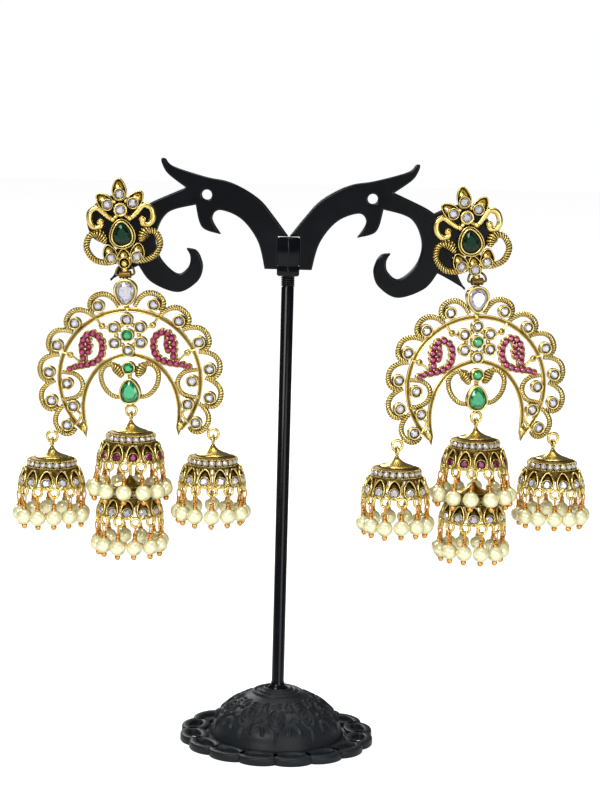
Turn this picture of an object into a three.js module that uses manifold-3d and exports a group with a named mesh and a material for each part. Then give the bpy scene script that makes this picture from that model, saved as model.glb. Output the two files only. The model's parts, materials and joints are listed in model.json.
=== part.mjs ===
// A pair of jhumka earrings on a plain display stand.
// Millimetres, +Z up. The origin is the middle of the stand's flat underside, and -Y is the front.
import * as THREE from 'three';
import { mergeVertices } from 'three/addons/utils/BufferGeometryUtils.js';
import Module from 'manifold-3d';

const wasm = await Module();
wasm.setup();

// Driving dimensions of the stand
const BASE_RADIUS = 25.4;
const RIM_THICKNESS = 1.6;
const SCALLOPS = 16;
const SCALLOP_DEPTH = 0.8;
const DOME_RADIUS = 17.3;
const DOME_TOP = 13.6;
const POLE_RADIUS = 1.6;
const HUB_BOTTOM = 121.5;
const HUB_TOP = 131.3;
const HUB_RADIUS = 3.4;
const ARM_THICKNESS = 3.4;
const GAP = 0.3;

// Where each earring hangs: the stud's middle, and how the stud and the crescent are turned at rest
const EARRINGS = [
  { side: 'left', x: -42.1, z: 131.3, studRoll: 5.0, roll: 3.4, yaw: -7 },
  { side: 'right', x: 46.0, z: 131.7, studRoll: 11.0, roll: 1.8, yaw: 14 },
];

// Driving dimensions of one earring
const STUD_BACK = -ARM_THICKNESS / 2 - GAP;
const STUD_PLATE = 1.2;
const PIVOT_DROP = 10.3;
const PIVOT_Y = -3.1;
const LINK_WIRE = 0.3;
const BAIL_RADIUS = 1.0;
const BAIL_HALF = 1.6;
const POST_RADIUS = 0.45;
const POST_HOLE = 0.9;
const POST_REACH = 6.6;
const CHAND_HALF = 0.5;
const RAIL_RADIUS = 17.8;
const RAIL_ACROSS = 18.3;
const RAIL_DROP = 26.8;
const RAIL_WIDTH = 0.9;
const LOOP_WIDTH = 1.1;
const STONE_BEZEL = 1.57;
const BEZEL_RISE = 0.8;
const RING_RADIUS = 1.35;
const RING_WIRE = 0.4;
const END_RING = { out: 21.0, drop: 41.2 };
const PENDANT_RING = { out: 0, drop: 34.8 };
const HOOK_RADIUS = 1.0;
const HOOK_WIRE = 0.3;
const PETALS = 12;
const PEARL_RADIUS = 2.05;
const PEARL_DROP = 18.6;
const SIDE_FRINGE_RADIUS = 8.2;
const UPPER_FRINGE_RADIUS = 9.3;
const CEILING_DROP = 7.3;
const LOWER_DROP = 14.2;

const GOLD = new THREE.MeshStandardMaterial({ color: 0xb8902f, roughness: 0.35, metalness: 1 });
const BLACK = new THREE.MeshStandardMaterial({ color: 0x16161a, roughness: 0.4, metalness: 0 });
const GREEN = new THREE.MeshStandardMaterial({ color: 0x1f9d63, roughness: 0.1, metalness: 0 });
const CLEAR = new THREE.MeshStandardMaterial({ color: 0xd9dadf, roughness: 0.05, metalness: 0 });
const RUBY = new THREE.MeshStandardMaterial({ color: 0x9a1f63, roughness: 0.15, metalness: 0 });
const PEARL = new THREE.MeshStandardMaterial({ color: 0xefe0b8, roughness: 0.25, metalness: 0 });

const radians = THREE.MathUtils.degToRad;

// The same surface turned right side out after a mirror
function mirrored(geometry) {
  const index = geometry.index.array;
  for (let i = 0; i < index.length; i += 3) {
    [index[i + 1], index[i + 2]] = [index[i + 2], index[i + 1]];
  }
  return geometry;
}

// A closed surface may come out inside out, by the way its outline runs; this turns it outwards
function outward(geometry) {
  const spots = geometry.attributes.position;
  const corners = [0, 1, 2].map(() => new THREE.Vector3());
  let volume = 0;
  for (let i = 0; i < geometry.index.count; i += 3) {
    corners.forEach((corner, k) => corner.fromBufferAttribute(spots, geometry.index.getX(i + k)));
    volume += corners[0].dot(corners[1].clone().cross(corners[2]));
  }
  return volume < 0 ? mirrored(geometry) : geometry;
}

// One surface whose corners are shared by the faces that meet there
function sealed(geometry) {
  const plain = geometry.clone();
  plain.deleteAttribute('normal');
  plain.deleteAttribute('uv');
  return outward(mergeVertices(plain, 1e-4));
}

// A closed solid of manifold-3d from any closed three.js geometry
function solid(geometry) {
  const merged = sealed(geometry);
  return new wasm.Manifold(new wasm.Mesh({
    numProp: 3,
    vertProperties: new Float32Array(merged.attributes.position.array),
    triVerts: new Uint32Array(merged.index.array),
  }));
}

function join(geometries) {
  return geometries.map(solid).reduce((whole, piece) => whole.add(piece));
}

// The same faces with fewer corners: one that lies inside a flat face or on a straight edge
// is drawn along an edge to its neighbour, where every face left round it keeps its plane
function thinned(spots, faces) {
  const around = spots.map(() => new Set());
  faces.forEach((face, f) => face.forEach((v) => around[v].add(f)));
  const neighbours = (v) => new Set([...around[v]].flatMap((f) => faces[f]).filter((w) => w !== v));
  const normal = ([a, b, c]) => spots[b].clone().sub(spots[a]).cross(spots[c].clone().sub(spots[a]));
  const keepsPlane = (face, v, w) => {
    const before = normal(face);
    const after = normal(face.map((u) => (u === v ? w : u)));
    const size = before.length() * after.length();
    return after.length() > 1e-3 && before.dot(after) > 0.99999 * size;
  };
  const fits = (v, w) => {
    const ends = neighbours(w);
    const shared = [...neighbours(v)].filter((u) => ends.has(u));
    const left = [...around[v]].filter((f) => !faces[f].includes(w));
    return shared.length === 2 && left.every((f) => keepsPlane(faces[f], v, w));
  };
  const draw = (v, w) => {
    around[v].forEach((f) => {
      if (faces[f].includes(w)) {
        faces[f].forEach((u) => u !== v && around[u].delete(f));
        faces[f] = null;
      } else {
        faces[f] = faces[f].map((u) => (u === v ? w : u));
        around[w].add(f);
      }
    });
    around[v].clear();
  };
  let count = 0;
  while (count !== faces.filter(Boolean).length) {
    count = faces.filter(Boolean).length;
    spots.forEach((_, v) => {
      const target = [...neighbours(v)].find((w) => fits(v, w));
      if (target !== undefined) draw(v, target);
    });
  }
  return faces.filter(Boolean);
}

function geometryOf(body) {
  const mesh = body.getMesh();
  const spots = Array.from({ length: mesh.vertProperties.length / 3 }, (_, i) => (
    new THREE.Vector3().fromArray(mesh.vertProperties, 3 * i)
  ));
  const faces = Array.from({ length: mesh.triVerts.length / 3 }, (_, i) => [...mesh.triVerts.slice(3 * i, 3 * i + 3)]);
  return surface(thinned(spots, faces).map((face) => face.map((v) => spots[v].toArray())));
}

function piece(name, geometry, material) {
  const mesh = new THREE.Mesh(geometry, material);
  mesh.name = name;
  return mesh;
}

const vec = (x, z) => new THREE.Vector2(x, z);

// A plate cut to an outline in the upright X-Z plane, from its back face to its front face
function plate(outline, back, front, holes = []) {
  const run = (points, clockwise) => (
    THREE.ShapeUtils.isClockWise(points) === clockwise ? points : [...points].reverse()
  );
  const shape = new THREE.Shape(run(outline, false));
  shape.holes = holes.map((hole) => new THREE.Path(run(hole, true)));
  const geometry = new THREE.ExtrudeGeometry(shape, { depth: back - front, bevelEnabled: false });
  geometry.rotateX(Math.PI / 2);
  geometry.translate(0, back, 0);
  return geometry;
}

function circle(x, z, radius, sides, stretch = 1) {
  return Array.from({ length: sides }, (_, i) => {
    const turn = (2 * Math.PI * (i + 0.5)) / sides;
    return vec(x + radius * Math.cos(turn), z + stretch * radius * Math.sin(turn));
  });
}

// A pear outline: round at one end, pointed at the other; point is 1 for up and -1 for down
function pearOutline(x, z, width, height, point, sides = 12) {
  return Array.from({ length: sides }, (_, i) => {
    const turn = (2 * Math.PI * i) / sides;
    const pinch = 1 - 0.42 * ((1 + Math.cos(turn)) / 2) ** 1.3;
    const across = (width / 2) * 1.12 * Math.sin(turn) * pinch;
    return vec(x - point * across, z + point * (height / 2) * Math.cos(turn));
  });
}

// A flat strap of one width that follows a smooth path through a few points
function strap(points, width, back, front, steps) {
  const curve = new THREE.SplineCurve(points.map(([x, z]) => vec(x, z)));
  const along = curve.getPoints(steps);
  const side = along.map((point, i) => {
    const before = along[Math.max(i - 1, 0)];
    const after = along[Math.min(i + 1, steps)];
    const run = after.clone().sub(before).normalize();
    return vec(-run.y, run.x).multiplyScalar(width / 2);
  });
  const left = along.map((point, i) => point.clone().add(side[i]));
  const right = along.map((point, i) => point.clone().sub(side[i]));
  return plate([...right, ...left.reverse()], back, front);
}

// A round stone in its bezel: a flat back, a rim, and a cut top with its table
function setStone(x, z, bezel, back, front, table, sides = 8) {
  const profile = [vec(0, back), vec(bezel, back), vec(bezel, front), vec(bezel * 0.5, table), vec(0, table)];
  const geometry = new THREE.LatheGeometry(profile, sides).rotateY(Math.PI / sides);
  return geometry.translate(x, 0, z);
}

// The faces between two rings of corners. Both have the same number of corners, or one has a
// multiple of the other's; a ring of one corner makes a fan.
function band(near, far) {
  const count = Math.max(near.length, far.length);
  const pick = (ring, i) => ring[Math.floor((i * ring.length) / count) % ring.length];
  return Array.from({ length: count }, (_, i) => (
    [...new Set([pick(near, i), pick(far, i), pick(far, i + 1), pick(near, i + 1)])]
  ));
}

// One closed surface from faces that are lists of three or four corners
function surface(faces) {
  const flat = faces.flatMap(([a, b, c, d]) => (d ? [a, b, c, a, c, d] : [a, b, c]));
  const geometry = new THREE.BufferGeometry();
  geometry.setAttribute('position', new THREE.BufferAttribute(new Float32Array(flat.flat()), 3));
  return sealed(geometry);
}

// A closed skin over a row of rings
function skin(rings) {
  return surface(rings.slice(1).flatMap((ring, i) => band(rings[i], ring)));
}

// A level ring of corners; the radius and the height may each change from corner to corner
function level(count, radius, height) {
  return Array.from({ length: count }, (_, i) => {
    const turn = (2 * Math.PI * i) / count;
    const r = typeof radius === 'function' ? radius(i) : radius;
    const z = typeof height === 'function' ? height(i) : height;
    return [r * Math.cos(turn), r * Math.sin(turn), z];
  });
}

// A round wire bent into a closed ring that faces the front
function wireRing(x, z, radius, wire, sides = 10, wireSides = 5) {
  const geometry = new THREE.TorusGeometry(radius, wire, wireSides, sides);
  return geometry.rotateX(Math.PI / 2).translate(x, 0, z);
}

// A round wire along a path of straight runs, with closed ends
function wire(points, radius, sides = 6) {
  const path = new THREE.CurvePath();
  for (let i = 0; i + 1 < points.length; i += 1) {
    path.add(new THREE.LineCurve3(new THREE.Vector3(...points[i]), new THREE.Vector3(...points[i + 1])));
  }
  const section = new THREE.Shape(circle(0, 0, radius, sides));
  return new THREE.ExtrudeGeometry(section, { steps: 2 * (points.length - 1), extrudePath: path, bevelEnabled: false });
}

// Stand

function standBase() {
  const rim = (i) => BASE_RADIUS - (i % 2 ? SCALLOP_DEPTH : 0);
  const dome = [[DOME_RADIUS, RIM_THICKNESS], [16.2, 5.2], [13.2, 8.4], [8.6, 11.2], [3.0, DOME_TOP]];
  const body = skin([
    [[0, 0, 0]],
    level(2 * SCALLOPS, rim, 0),
    level(2 * SCALLOPS, rim, RIM_THICKNESS),
    ...dome.map(([radius, height]) => level(SCALLOPS, radius, height)),
    [[0, 0, DOME_TOP]],
  ]);
  const holes = Array.from({ length: SCALLOPS }, (_, i) => {
    const oval = new THREE.CylinderGeometry(1, 1, 4 * RIM_THICKNESS, 6);
    oval.rotateX(Math.PI / 2).scale(1.5, 2.9, 1).translate(21.3, 0, 0);
    return solid(oval.rotateZ((2 * Math.PI * i) / SCALLOPS));
  });
  return geometryOf(holes.reduce((whole, hole) => whole.subtract(hole), solid(body)));
}

function standPole() {
  const bottom = DOME_TOP + GAP;
  const collar = HUB_BOTTOM - 2.4;
  const top = HUB_BOTTOM - GAP;
  return skin([
    [[0, 0, bottom]],
    level(10, POLE_RADIUS, bottom),
    level(10, POLE_RADIUS, collar),
    level(10, POLE_RADIUS + 0.7, collar),
    level(10, POLE_RADIUS + 0.7, top),
    [[0, 0, top]],
  ]);
}

function standHub() {
  const hub = new THREE.CylinderGeometry(HUB_RADIUS, HUB_RADIUS, HUB_TOP - HUB_BOTTOM, 6);
  return hub.rotateX(Math.PI / 2).translate(0, 0, (HUB_TOP + HUB_BOTTOM) / 2);
}

// One arm's outline as strokes that meet in corners: out from the middle, and up from the floor
const ARM_STROKES = [
  [[0.3, 131.8], [4.0, 136.6], [7.3, 140.4], [11.5, 143.2], [16.0, 145.1], [21.5, 146.1], [29.6, 148.5], [32.4, 150.8]],
  [[32.4, 150.8], [31.0, 147.2], [26.4, 143.3]],
  [[26.4, 143.3], [34.0, 139.9], [36.7, 138.3]],
  [[36.7, 138.3], [41.0, 140.2], [45.2, 140.8], [49.2, 138.6], [51.3, 134.6], [49.6, 129.9], [45.0, 128.0], [41.6, 127.4]],
  [[41.6, 127.4], [43.4, 122.4], [45.3, 119.2]],
  [[45.3, 119.2], [41.5, 121.4], [38.0, 123.2]],
  [[38.0, 123.2], [34.7, 119.1], [28.0, 116.7], [23.2, 119.3], [21.8, 123.2], [25.4, 127.9]],
  [[25.4, 127.9], [25.4, 123.6], [28.3, 121.4], [32.6, 125.4], [33.7, 131.0], [30.8, 136.8], [23.8, 139.0]],
  [[23.8, 139.0], [22.1, 133.4], [17.3, 131.7]],
  [[17.3, 131.7], [19.5, 135.5], [17.7, 137.8], [12.2, 135.7], [7.9, 130.2], [6.0, 123.2]],
];

function standArm(sign, earring) {
  const outline = ARM_STROKES.flatMap((stroke) => {
    const curve = new THREE.SplineCurve(stroke.map(([out, up]) => vec(sign * out, up)));
    return curve.getPoints(Math.ceil(1.5 * (stroke.length - 1))).slice(0, -1);
  });
  const inner = HUB_RADIUS + GAP;
  outline.push(vec(sign * 6.0, 123.2), vec(sign * inner, 123.2), vec(sign * inner, HUB_TOP + GAP));
  outline.push(vec(sign * 0.3, HUB_TOP + GAP));
  const eye = circle(sign * 21.0, 141.6, 1.3, 8);
  const post = circle(earring.x, earring.z, POST_HOLE, 8);
  return plate(outline, ARM_THICKNESS / 2, -ARM_THICKNESS / 2, [eye, post]);
}

// Stud: places are across and up from the pear's middle

const STUD_PETALS = [
  { out: 0, up: 10.2, size: 1.75, tip: 13.0 },
  { out: 3.4, up: 7.8, size: 1.75, tip: 10.0 },
  { out: 3.4, up: -5.6, size: 1.6, tip: -3.4 },
  { out: 0, up: -7.1, size: 1.75, tip: -4.4 },
];
const PLAIN_SCROLL = [[1.2, 2.4], [4.4, 6.9], [7.4, 6.0], [7.6, 2.6], [5.4, 1.7], [4.9, 3.6]];
const ROPED_SCROLL = [[0.8, -5.6], [5.2, -6.8], [8.4, -5.4], [9.2, -1.8], [6.8, 0.5], [5.2, -1.6]];

function petal(x, z, size, tip) {
  const rise = tip - z;
  const sides = circle(x, z, size, 8).map((p) => (
    (p.y - z) * Math.sign(rise) > 0.8 * size ? vec(x + 0.5 * (p.x - x) * (1 + 0.2 * x), z + rise * 0.9) : p
  ));
  return plate(sides, STUD_BACK, STUD_BACK - STUD_PLATE);
}

function studFront() {
  const front = STUD_BACK - STUD_PLATE;
  const flat = [STUD_BACK, front];
  const parts = [plate(pearOutline(0, 0, 6.4, 7.6, 1), STUD_BACK, front - 0.4)];
  parts.push(setStone(0, 6.1, 1.8, STUD_BACK, front - 0.7, front - 1.1));
  STUD_PETALS.forEach(({ out, up, size, tip }) => {
    (out ? [-1, 1] : [1]).forEach((sign) => {
      parts.push(petal(sign * out, up, size, tip));
      parts.push(setStone(sign * out, up, 1.25, STUD_BACK, front - 0.4, front - 0.7));
    });
  });
  parts.push(strap([[0, 2.6], [0, 9.4]], 1.8, ...flat, 1));
  parts.push(strap([[0, -2.6], [0, -8.0]], 2.2, ...flat, 1));
  [-1, 1].forEach((sign) => {
    const flip = ([x, z]) => [sign * x, z];
    parts.push(strap([[0.6, 6.2], [3.2, 7.6]].map(flip), 1.4, ...flat, 1));
    parts.push(strap([[1.2, -2.4], [3.2, -5.2]].map(flip), 1.4, ...flat, 1));
    parts.push(strap(PLAIN_SCROLL.map(flip), 0.9, ...flat, 6));
    parts.push(strap(ROPED_SCROLL.map(flip), 1.2, ...flat, 6));
  });
  parts.push(plate([vec(-2.4, -8.9), vec(2.4, -8.9), vec(1.6, -6.0), vec(-1.6, -6.0)], ...flat));
  const post = new THREE.CylinderGeometry(POST_RADIUS, POST_RADIUS, POST_REACH - STUD_BACK, 8);
  parts.push(post.translate(0, (POST_REACH + STUD_BACK) / 2 - 0.2, 0));
  return parts;
}

// The pear's collar stands round its stone
function studCollar() {
  const front = STUD_BACK - STUD_PLATE;
  const outer = pearOutline(0, 0, 6.4, 7.6, 1);
  const inner = pearOutline(0, -0.1, 5.1, 6.3, 1).reverse();
  return plate(outer, front, front - 1.2, [inner]);
}

// A cut stone on a pear or round outline: a small culet face, the girdle and the table
function cutStone(outline, centre, back, girdle, table) {
  const at = (scale, y) => outline.map((p) => {
    const q = p.clone().sub(centre).multiplyScalar(scale).add(centre);
    return [q.x, y, q.y];
  });
  return skin([[[centre.x, back, centre.y]], at(0.55, back), at(1, girdle), at(0.6, table), [[centre.x, table, centre.y]]]);
}

function clutch() {
  const nut = skin([
    level(8, POST_RADIUS + GAP, 0), level(8, 2.2, 0), level(8, 2.2, 0.8), level(8, 1.3, 1.4),
    level(8, 1.3, 3.2), level(8, POST_RADIUS + GAP, 3.2), level(8, POST_RADIUS + GAP, 0),
  ]);
  return nut.rotateX(-Math.PI / 2).translate(0, ARM_THICKNESS / 2 + GAP, 0);
}

// Crescent: places are out from the middle line and down from the pivot

const LOOP_STONES = [[7.2, 7.8], [13.5, 12.1], [18.4, 17.6], [20.8, 24.5], [20.5, 31.8], [16.7, 38.2]];
// A loop and the gap inside it, about its stone: along the rail, and away from it
const LOOP_EDGE = [[-5.0, -2.6], [-4.6, 0.4], [-3.2, 2.4], [-0.8, 3.1], [1.6, 1.9], [2.3, 0], [1.6, -2.7]];
const LOOP_GAP = [[-3.9, -1.6], [-3.4, 0.4], [-2.2, 1.8], [-0.6, 1.8], [-1.6, 0.2], [-1.3, -1.6]];
const INNER_RAIL = [[0, 20.4], [6.4, 22.4], [10.6, 27.1], [12.4, 33.0], [12.2, 38.9]];
const SHORT_LOOP = [[17.8, 24.9], [14.4, 25.4], [12.0, 27.6], [12.3, 30.0], [14.2, 31.8], [17.8, 31.8]];
const SCROLL_STONES = [[16.2, 27.5], [14.9, 33.4]];
const HEART = [[1.4, 30.6], [5.2, 29.2], [8.1, 25.0], [5.8, 22.7], [2.8, 23.4], [1.9, 25.4]];
const FLOWER_DROP = 15.4;
const FLOWER_REACH = 3.95;
const BEAD_PLACES = [[6.6, 13.0], [15.2, 20.2]];
const BEAD_ARMS = [[[4.4, 13.8], [6.6, 13.0], [8.2, 10.8]], [[6.6, 13.0], [7.6, 14.4], [8.0, 15.4]],
  [[17.2, 19.6], [15.2, 20.2], [12.2, 22.4]]];
// Short upright stays on the middle line, by the drops of their ends
const STAYS = [[0.8, 1.8], [7.2, 11.0], [24.8, 27.2], [32.4, 33.8]];
const TIP_ARMS = [[[14.6, 33.8], [12.9, 35.8], [16.2, 38.4]], [[16.4, 38.6], [19.9, 40.6]],
  [[16.4, 27.5], [18.2, 27.3]]];
const BIRD_RING = [[12.0, 23.1], [11.9, 20.4], [11.9, 17.2], [10.6, 15.2], [8.7, 14.9], [6.9, 16.2],
  [6.5, 18.6], [7.2, 20.9], [9.2, 22.5], [12.0, 23.3], [14.8, 23.8]];
const BIRD_HEAD = [[11.6, 17.2], [10.2, 17.7]];

function loopPlate(sign, [out, drop]) {
  const rise = RAIL_DROP - drop;
  const reach = Math.hypot(out, rise);
  const [nx, nz] = [out / reach, rise / reach];
  const place = ([along, away]) => vec(
    sign * (out + along * nz + away * nx),
    -drop - along * nx + away * nz,
  );
  return plate(LOOP_EDGE.map(place), CHAND_HALF, -CHAND_HALF, [LOOP_GAP.map(place)]);
}

function rails() {
  const parts = [];
  const sweep = radians(133);
  const arc = Array.from({ length: 19 }, (_, i) => {
    const turn = sweep * (i / 9 - 1);
    return [RAIL_ACROSS * Math.sin(turn), -RAIL_DROP + RAIL_RADIUS * Math.cos(turn)];
  });
  parts.push(strap(arc, RAIL_WIDTH, CHAND_HALF, -CHAND_HALF, 18));
  const half = INNER_RAIL.map(([out, drop]) => [out, -drop]);
  const whole = [...half.slice(1).reverse().map(([x, z]) => [-x, z]), ...half];
  parts.push(strap(whole, RAIL_WIDTH, CHAND_HALF, -CHAND_HALF, 10));
  return parts;
}

function bail() {
  const tube = skin([
    level(8, LINK_WIRE + GAP, -BAIL_HALF), level(8, BAIL_RADIUS, -BAIL_HALF),
    level(8, BAIL_RADIUS, BAIL_HALF), level(8, LINK_WIRE + GAP, BAIL_HALF), level(8, LINK_WIRE + GAP, -BAIL_HALF),
  ]);
  return tube.rotateY(Math.PI / 2);
}

function crescentFrame() {
  const stone = (x, z) => plate(circle(x, z, STONE_BEZEL, 8), CHAND_HALF, -CHAND_HALF - BEZEL_RISE);
  const flat = (outline) => plate(outline, CHAND_HALF, -CHAND_HALF);
  const run = (path, width, steps) => strap(path, width, CHAND_HALF, -CHAND_HALF, steps);
  const parts = rails();
  [-1, 1].forEach((sign) => {
    const flip = ([out, drop]) => [sign * out, -drop];
    LOOP_STONES.forEach((place) => parts.push(loopPlate(sign, place), stone(...flip(place))));
    SCROLL_STONES.forEach((place) => parts.push(stone(...flip(place))));
    parts.push(run(SHORT_LOOP.map(flip), LOOP_WIDTH, 5));
    parts.push(run(HEART.map(flip), 1.2, 5));
    parts.push(run(BIRD_RING.map(flip), 2.4, 10));
    parts.push(run(BIRD_HEAD.map(flip), 2.4, 1));
    BEAD_PLACES.forEach((place) => parts.push(flat(circle(...flip(place), 0.8, 6))));
    [...BEAD_ARMS, ...TIP_ARMS].forEach((arm) => parts.push(run(arm.map(flip), 0.9, arm.length - 1)));
    parts.push(wireRing(sign * END_RING.out, -END_RING.drop, RING_RADIUS, RING_WIRE));
  });
  for (let i = 0; i < 6; i += 1) {
    const turn = (Math.PI * i) / 3;
    parts.push(stone(FLOWER_REACH * Math.sin(turn), -FLOWER_DROP + FLOWER_REACH * Math.cos(turn)));
  }
  parts.push(flat(circle(0, -FLOWER_DROP, 3.0, 8)), flat(circle(0, -23.8, 1.75, 8)));
  parts.push(flat(pearOutline(0, -29.7, 5.2, 6.8, 1)), flat(pearOutline(0, -4.6, 5.5, 6.5, -1)));
  STAYS.forEach(([top, bottom]) => parts.push(run([[0, -top], [0, -bottom]], 1.4, 1)));
  parts.push(wireRing(0, -PENDANT_RING.drop, RING_RADIUS, RING_WIRE), bail());
  return parts;
}

// Stones with a node of their own lie in the frame, with a little room all round
const SEAT_FRONT = -CHAND_HALF - GAP;

function frameStones(prefix) {
  const flower = circle(0, -FLOWER_DROP, 1.45, 10);
  const round = circle(0, -23.8, 1.3, 10);
  const pear = pearOutline(0, -29.8, 4.2, 5.4, 1);
  const crown = pearOutline(0, -4.5, 4.4, 5.3, -1);
  const cut = (outline, x, z) => cutStone(outline, vec(x, z), SEAT_FRONT, SEAT_FRONT - 0.5, SEAT_FRONT - 0.9);
  return [
    piece(`${prefix}_crown_diamond`, cut(crown, 0, -4.3), CLEAR),
    piece(`${prefix}_flower_emerald`, cut(flower, 0, -FLOWER_DROP), GREEN),
    piece(`${prefix}_pendant_emerald_round`, cut(round, 0, -23.8), GREEN),
    piece(`${prefix}_pendant_emerald_pear`, cut(pear, 0, -30.0), GREEN),
  ];
}

// A row of cut stones on a path: wide and high at each stone, narrow and low between two
function stoneRow(points, stones) {
  const curve = new THREE.SplineCurve(points.map(([x, z]) => vec(x, z)));
  const rings = [];
  for (let i = 0; i <= 2 * stones; i += 1) {
    const t = i / (2 * stones);
    const [here, run] = [curve.getPointAt(t), curve.getTangentAt(t)];
    const wide = i % 2;
    const half = wide ? 1.05 : 0.7;
    const crest = wide ? 0.55 : 0.3;
    const back = SEAT_FRONT;
    const top = back - (wide ? 0.9 : 0.6);
    const corner = (across, y) => [here.x - run.y * across, y, here.y + run.x * across];
    rings.push([corner(half, back), corner(-half, back), corner(-crest, top), corner(crest, top)]);
  }
  const middle = (ring) => [0, 1, 2].map((k) => ring.reduce((sum, p) => sum + p[k], 0) / ring.length);
  return skin([[middle(rings[0])], ...rings, [middle(rings[rings.length - 1])]]);
}

function birdStones(sign) {
  const flip = ([out, drop]) => [sign * out, -drop];
  return geometryOf(join([stoneRow(BIRD_RING.map(flip), 10), stoneRow(BIRD_HEAD.map(flip), 1)]));
}

// Bell: heights are below the wire that its hook goes round

const BELL_CAP = [[1.4, -2.7], [3.9, -3.9]];
const BELL_BAND = [[6.4, -4.4], [6.4, -6.2]];
const BELL_ROOM = [5.5, -6.4];
const BELL_CEILING = -5.3;
const EYELET_DROP = 13.4;
const EYELET_RADIUS = 8.3;
const NOTCH_DROP = 11.9;

function bellShell() {
  const lobes = 2 * PETALS;
  const odd = (a, b) => (i) => (i % 2 ? a : b);
  return skin([
    [[0, 0, BELL_CEILING]],
    level(PETALS, BELL_ROOM[0], BELL_ROOM[1]),
    level(lobes, odd(7.8, 7.6), odd(-EYELET_DROP, -NOTCH_DROP)),
    level(lobes, odd(8.7, 8.4), odd(-EYELET_DROP, -NOTCH_DROP)),
    level(lobes, odd(7.6, 8.2), -9.3),
    level(PETALS, BELL_BAND[1][0], BELL_BAND[1][1]),
    level(PETALS, BELL_BAND[0][0], BELL_BAND[0][1]),
    level(PETALS, BELL_CAP[1][0], BELL_CAP[1][1]),
    level(PETALS, BELL_CAP[0][0], BELL_CAP[0][1]),
    [[0, 0, -1.3]],
  ]);
}

// The hook's ring goes round the wire that carries it, and its rod runs down into the cap
function hook(rodLength) {
  const ring = new THREE.TorusGeometry(HOOK_RADIUS, HOOK_WIRE, 5, 10).rotateY(Math.PI / 2);
  const rod = new THREE.CylinderGeometry(0.35, 0.35, rodLength, 6).rotateX(Math.PI / 2);
  return [ring, rod.translate(0, 0, -HOOK_RADIUS - rodLength / 2)];
}

// The staple under the ceiling carries the lower bell's hook
function staple() {
  const ring = new THREE.TorusGeometry(RING_RADIUS, RING_WIRE, 5, 10);
  return ring.rotateX(Math.PI / 2).translate(0, 0, RING_RADIUS - CEILING_DROP);
}

function bell(hookDrop, extras) {
  const shell = bellShell().translate(0, 0, -hookDrop);
  return geometryOf(join([shell, ...hook(hookDrop + 0.8), ...extras]));
}

// A ring of pearls that nearly touch: a tube that swells at each pearl and is thin between two.
// Each pearl's top face is drawn up into the wire stem that it hangs by, under its eyelet.
function pearlRing(radius, sink) {
  const step = (2 * Math.PI) / PETALS;
  const half = (0.5 * PEARL_RADIUS) / radius;
  const section = (turn, size, sides) => Array.from({ length: sides }, (_, k) => {
    const roll = (2 * Math.PI * (k - 0.5)) / sides + Math.PI / 2;
    const r = radius + size * Math.cos(roll);
    return [r * Math.cos(turn), r * Math.sin(turn), size * Math.sin(roll) - PEARL_DROP - sink];
  });
  const stemTop = (turn) => [[0.4, -0.4], [-0.4, -0.4], [-0.4, 0.4], [0.4, 0.4]].map(([out, around]) => [
    (EYELET_RADIUS + out) * Math.cos(turn) - around * Math.sin(turn),
    (EYELET_RADIUS + out) * Math.sin(turn) + around * Math.cos(turn),
    -EYELET_DROP - GAP - sink,
  ]);
  const necks = Array.from({ length: PETALS }, (_, i) => section(step * i, 0.35, 5));
  const faces = necks.flatMap((neck, i) => {
    const middle = step * (i + 0.5);
    const near = section(middle - half, 0.95 * PEARL_RADIUS, 10);
    const far = section(middle + half, 0.95 * PEARL_RADIUS, 10);
    const [crown, ...round] = band(near, far);
    const top = stemTop(middle);
    const stem = crown.map((corner, k) => [corner, crown[(k + 1) % 4], top[(k + 1) % 4], top[k]]);
    return [...band(neck, near), ...round, ...stem, top, ...band(far, necks[(i + 1) % PETALS])];
  });
  return surface(faces);
}

// One whole earring, in the group of the stand

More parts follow.
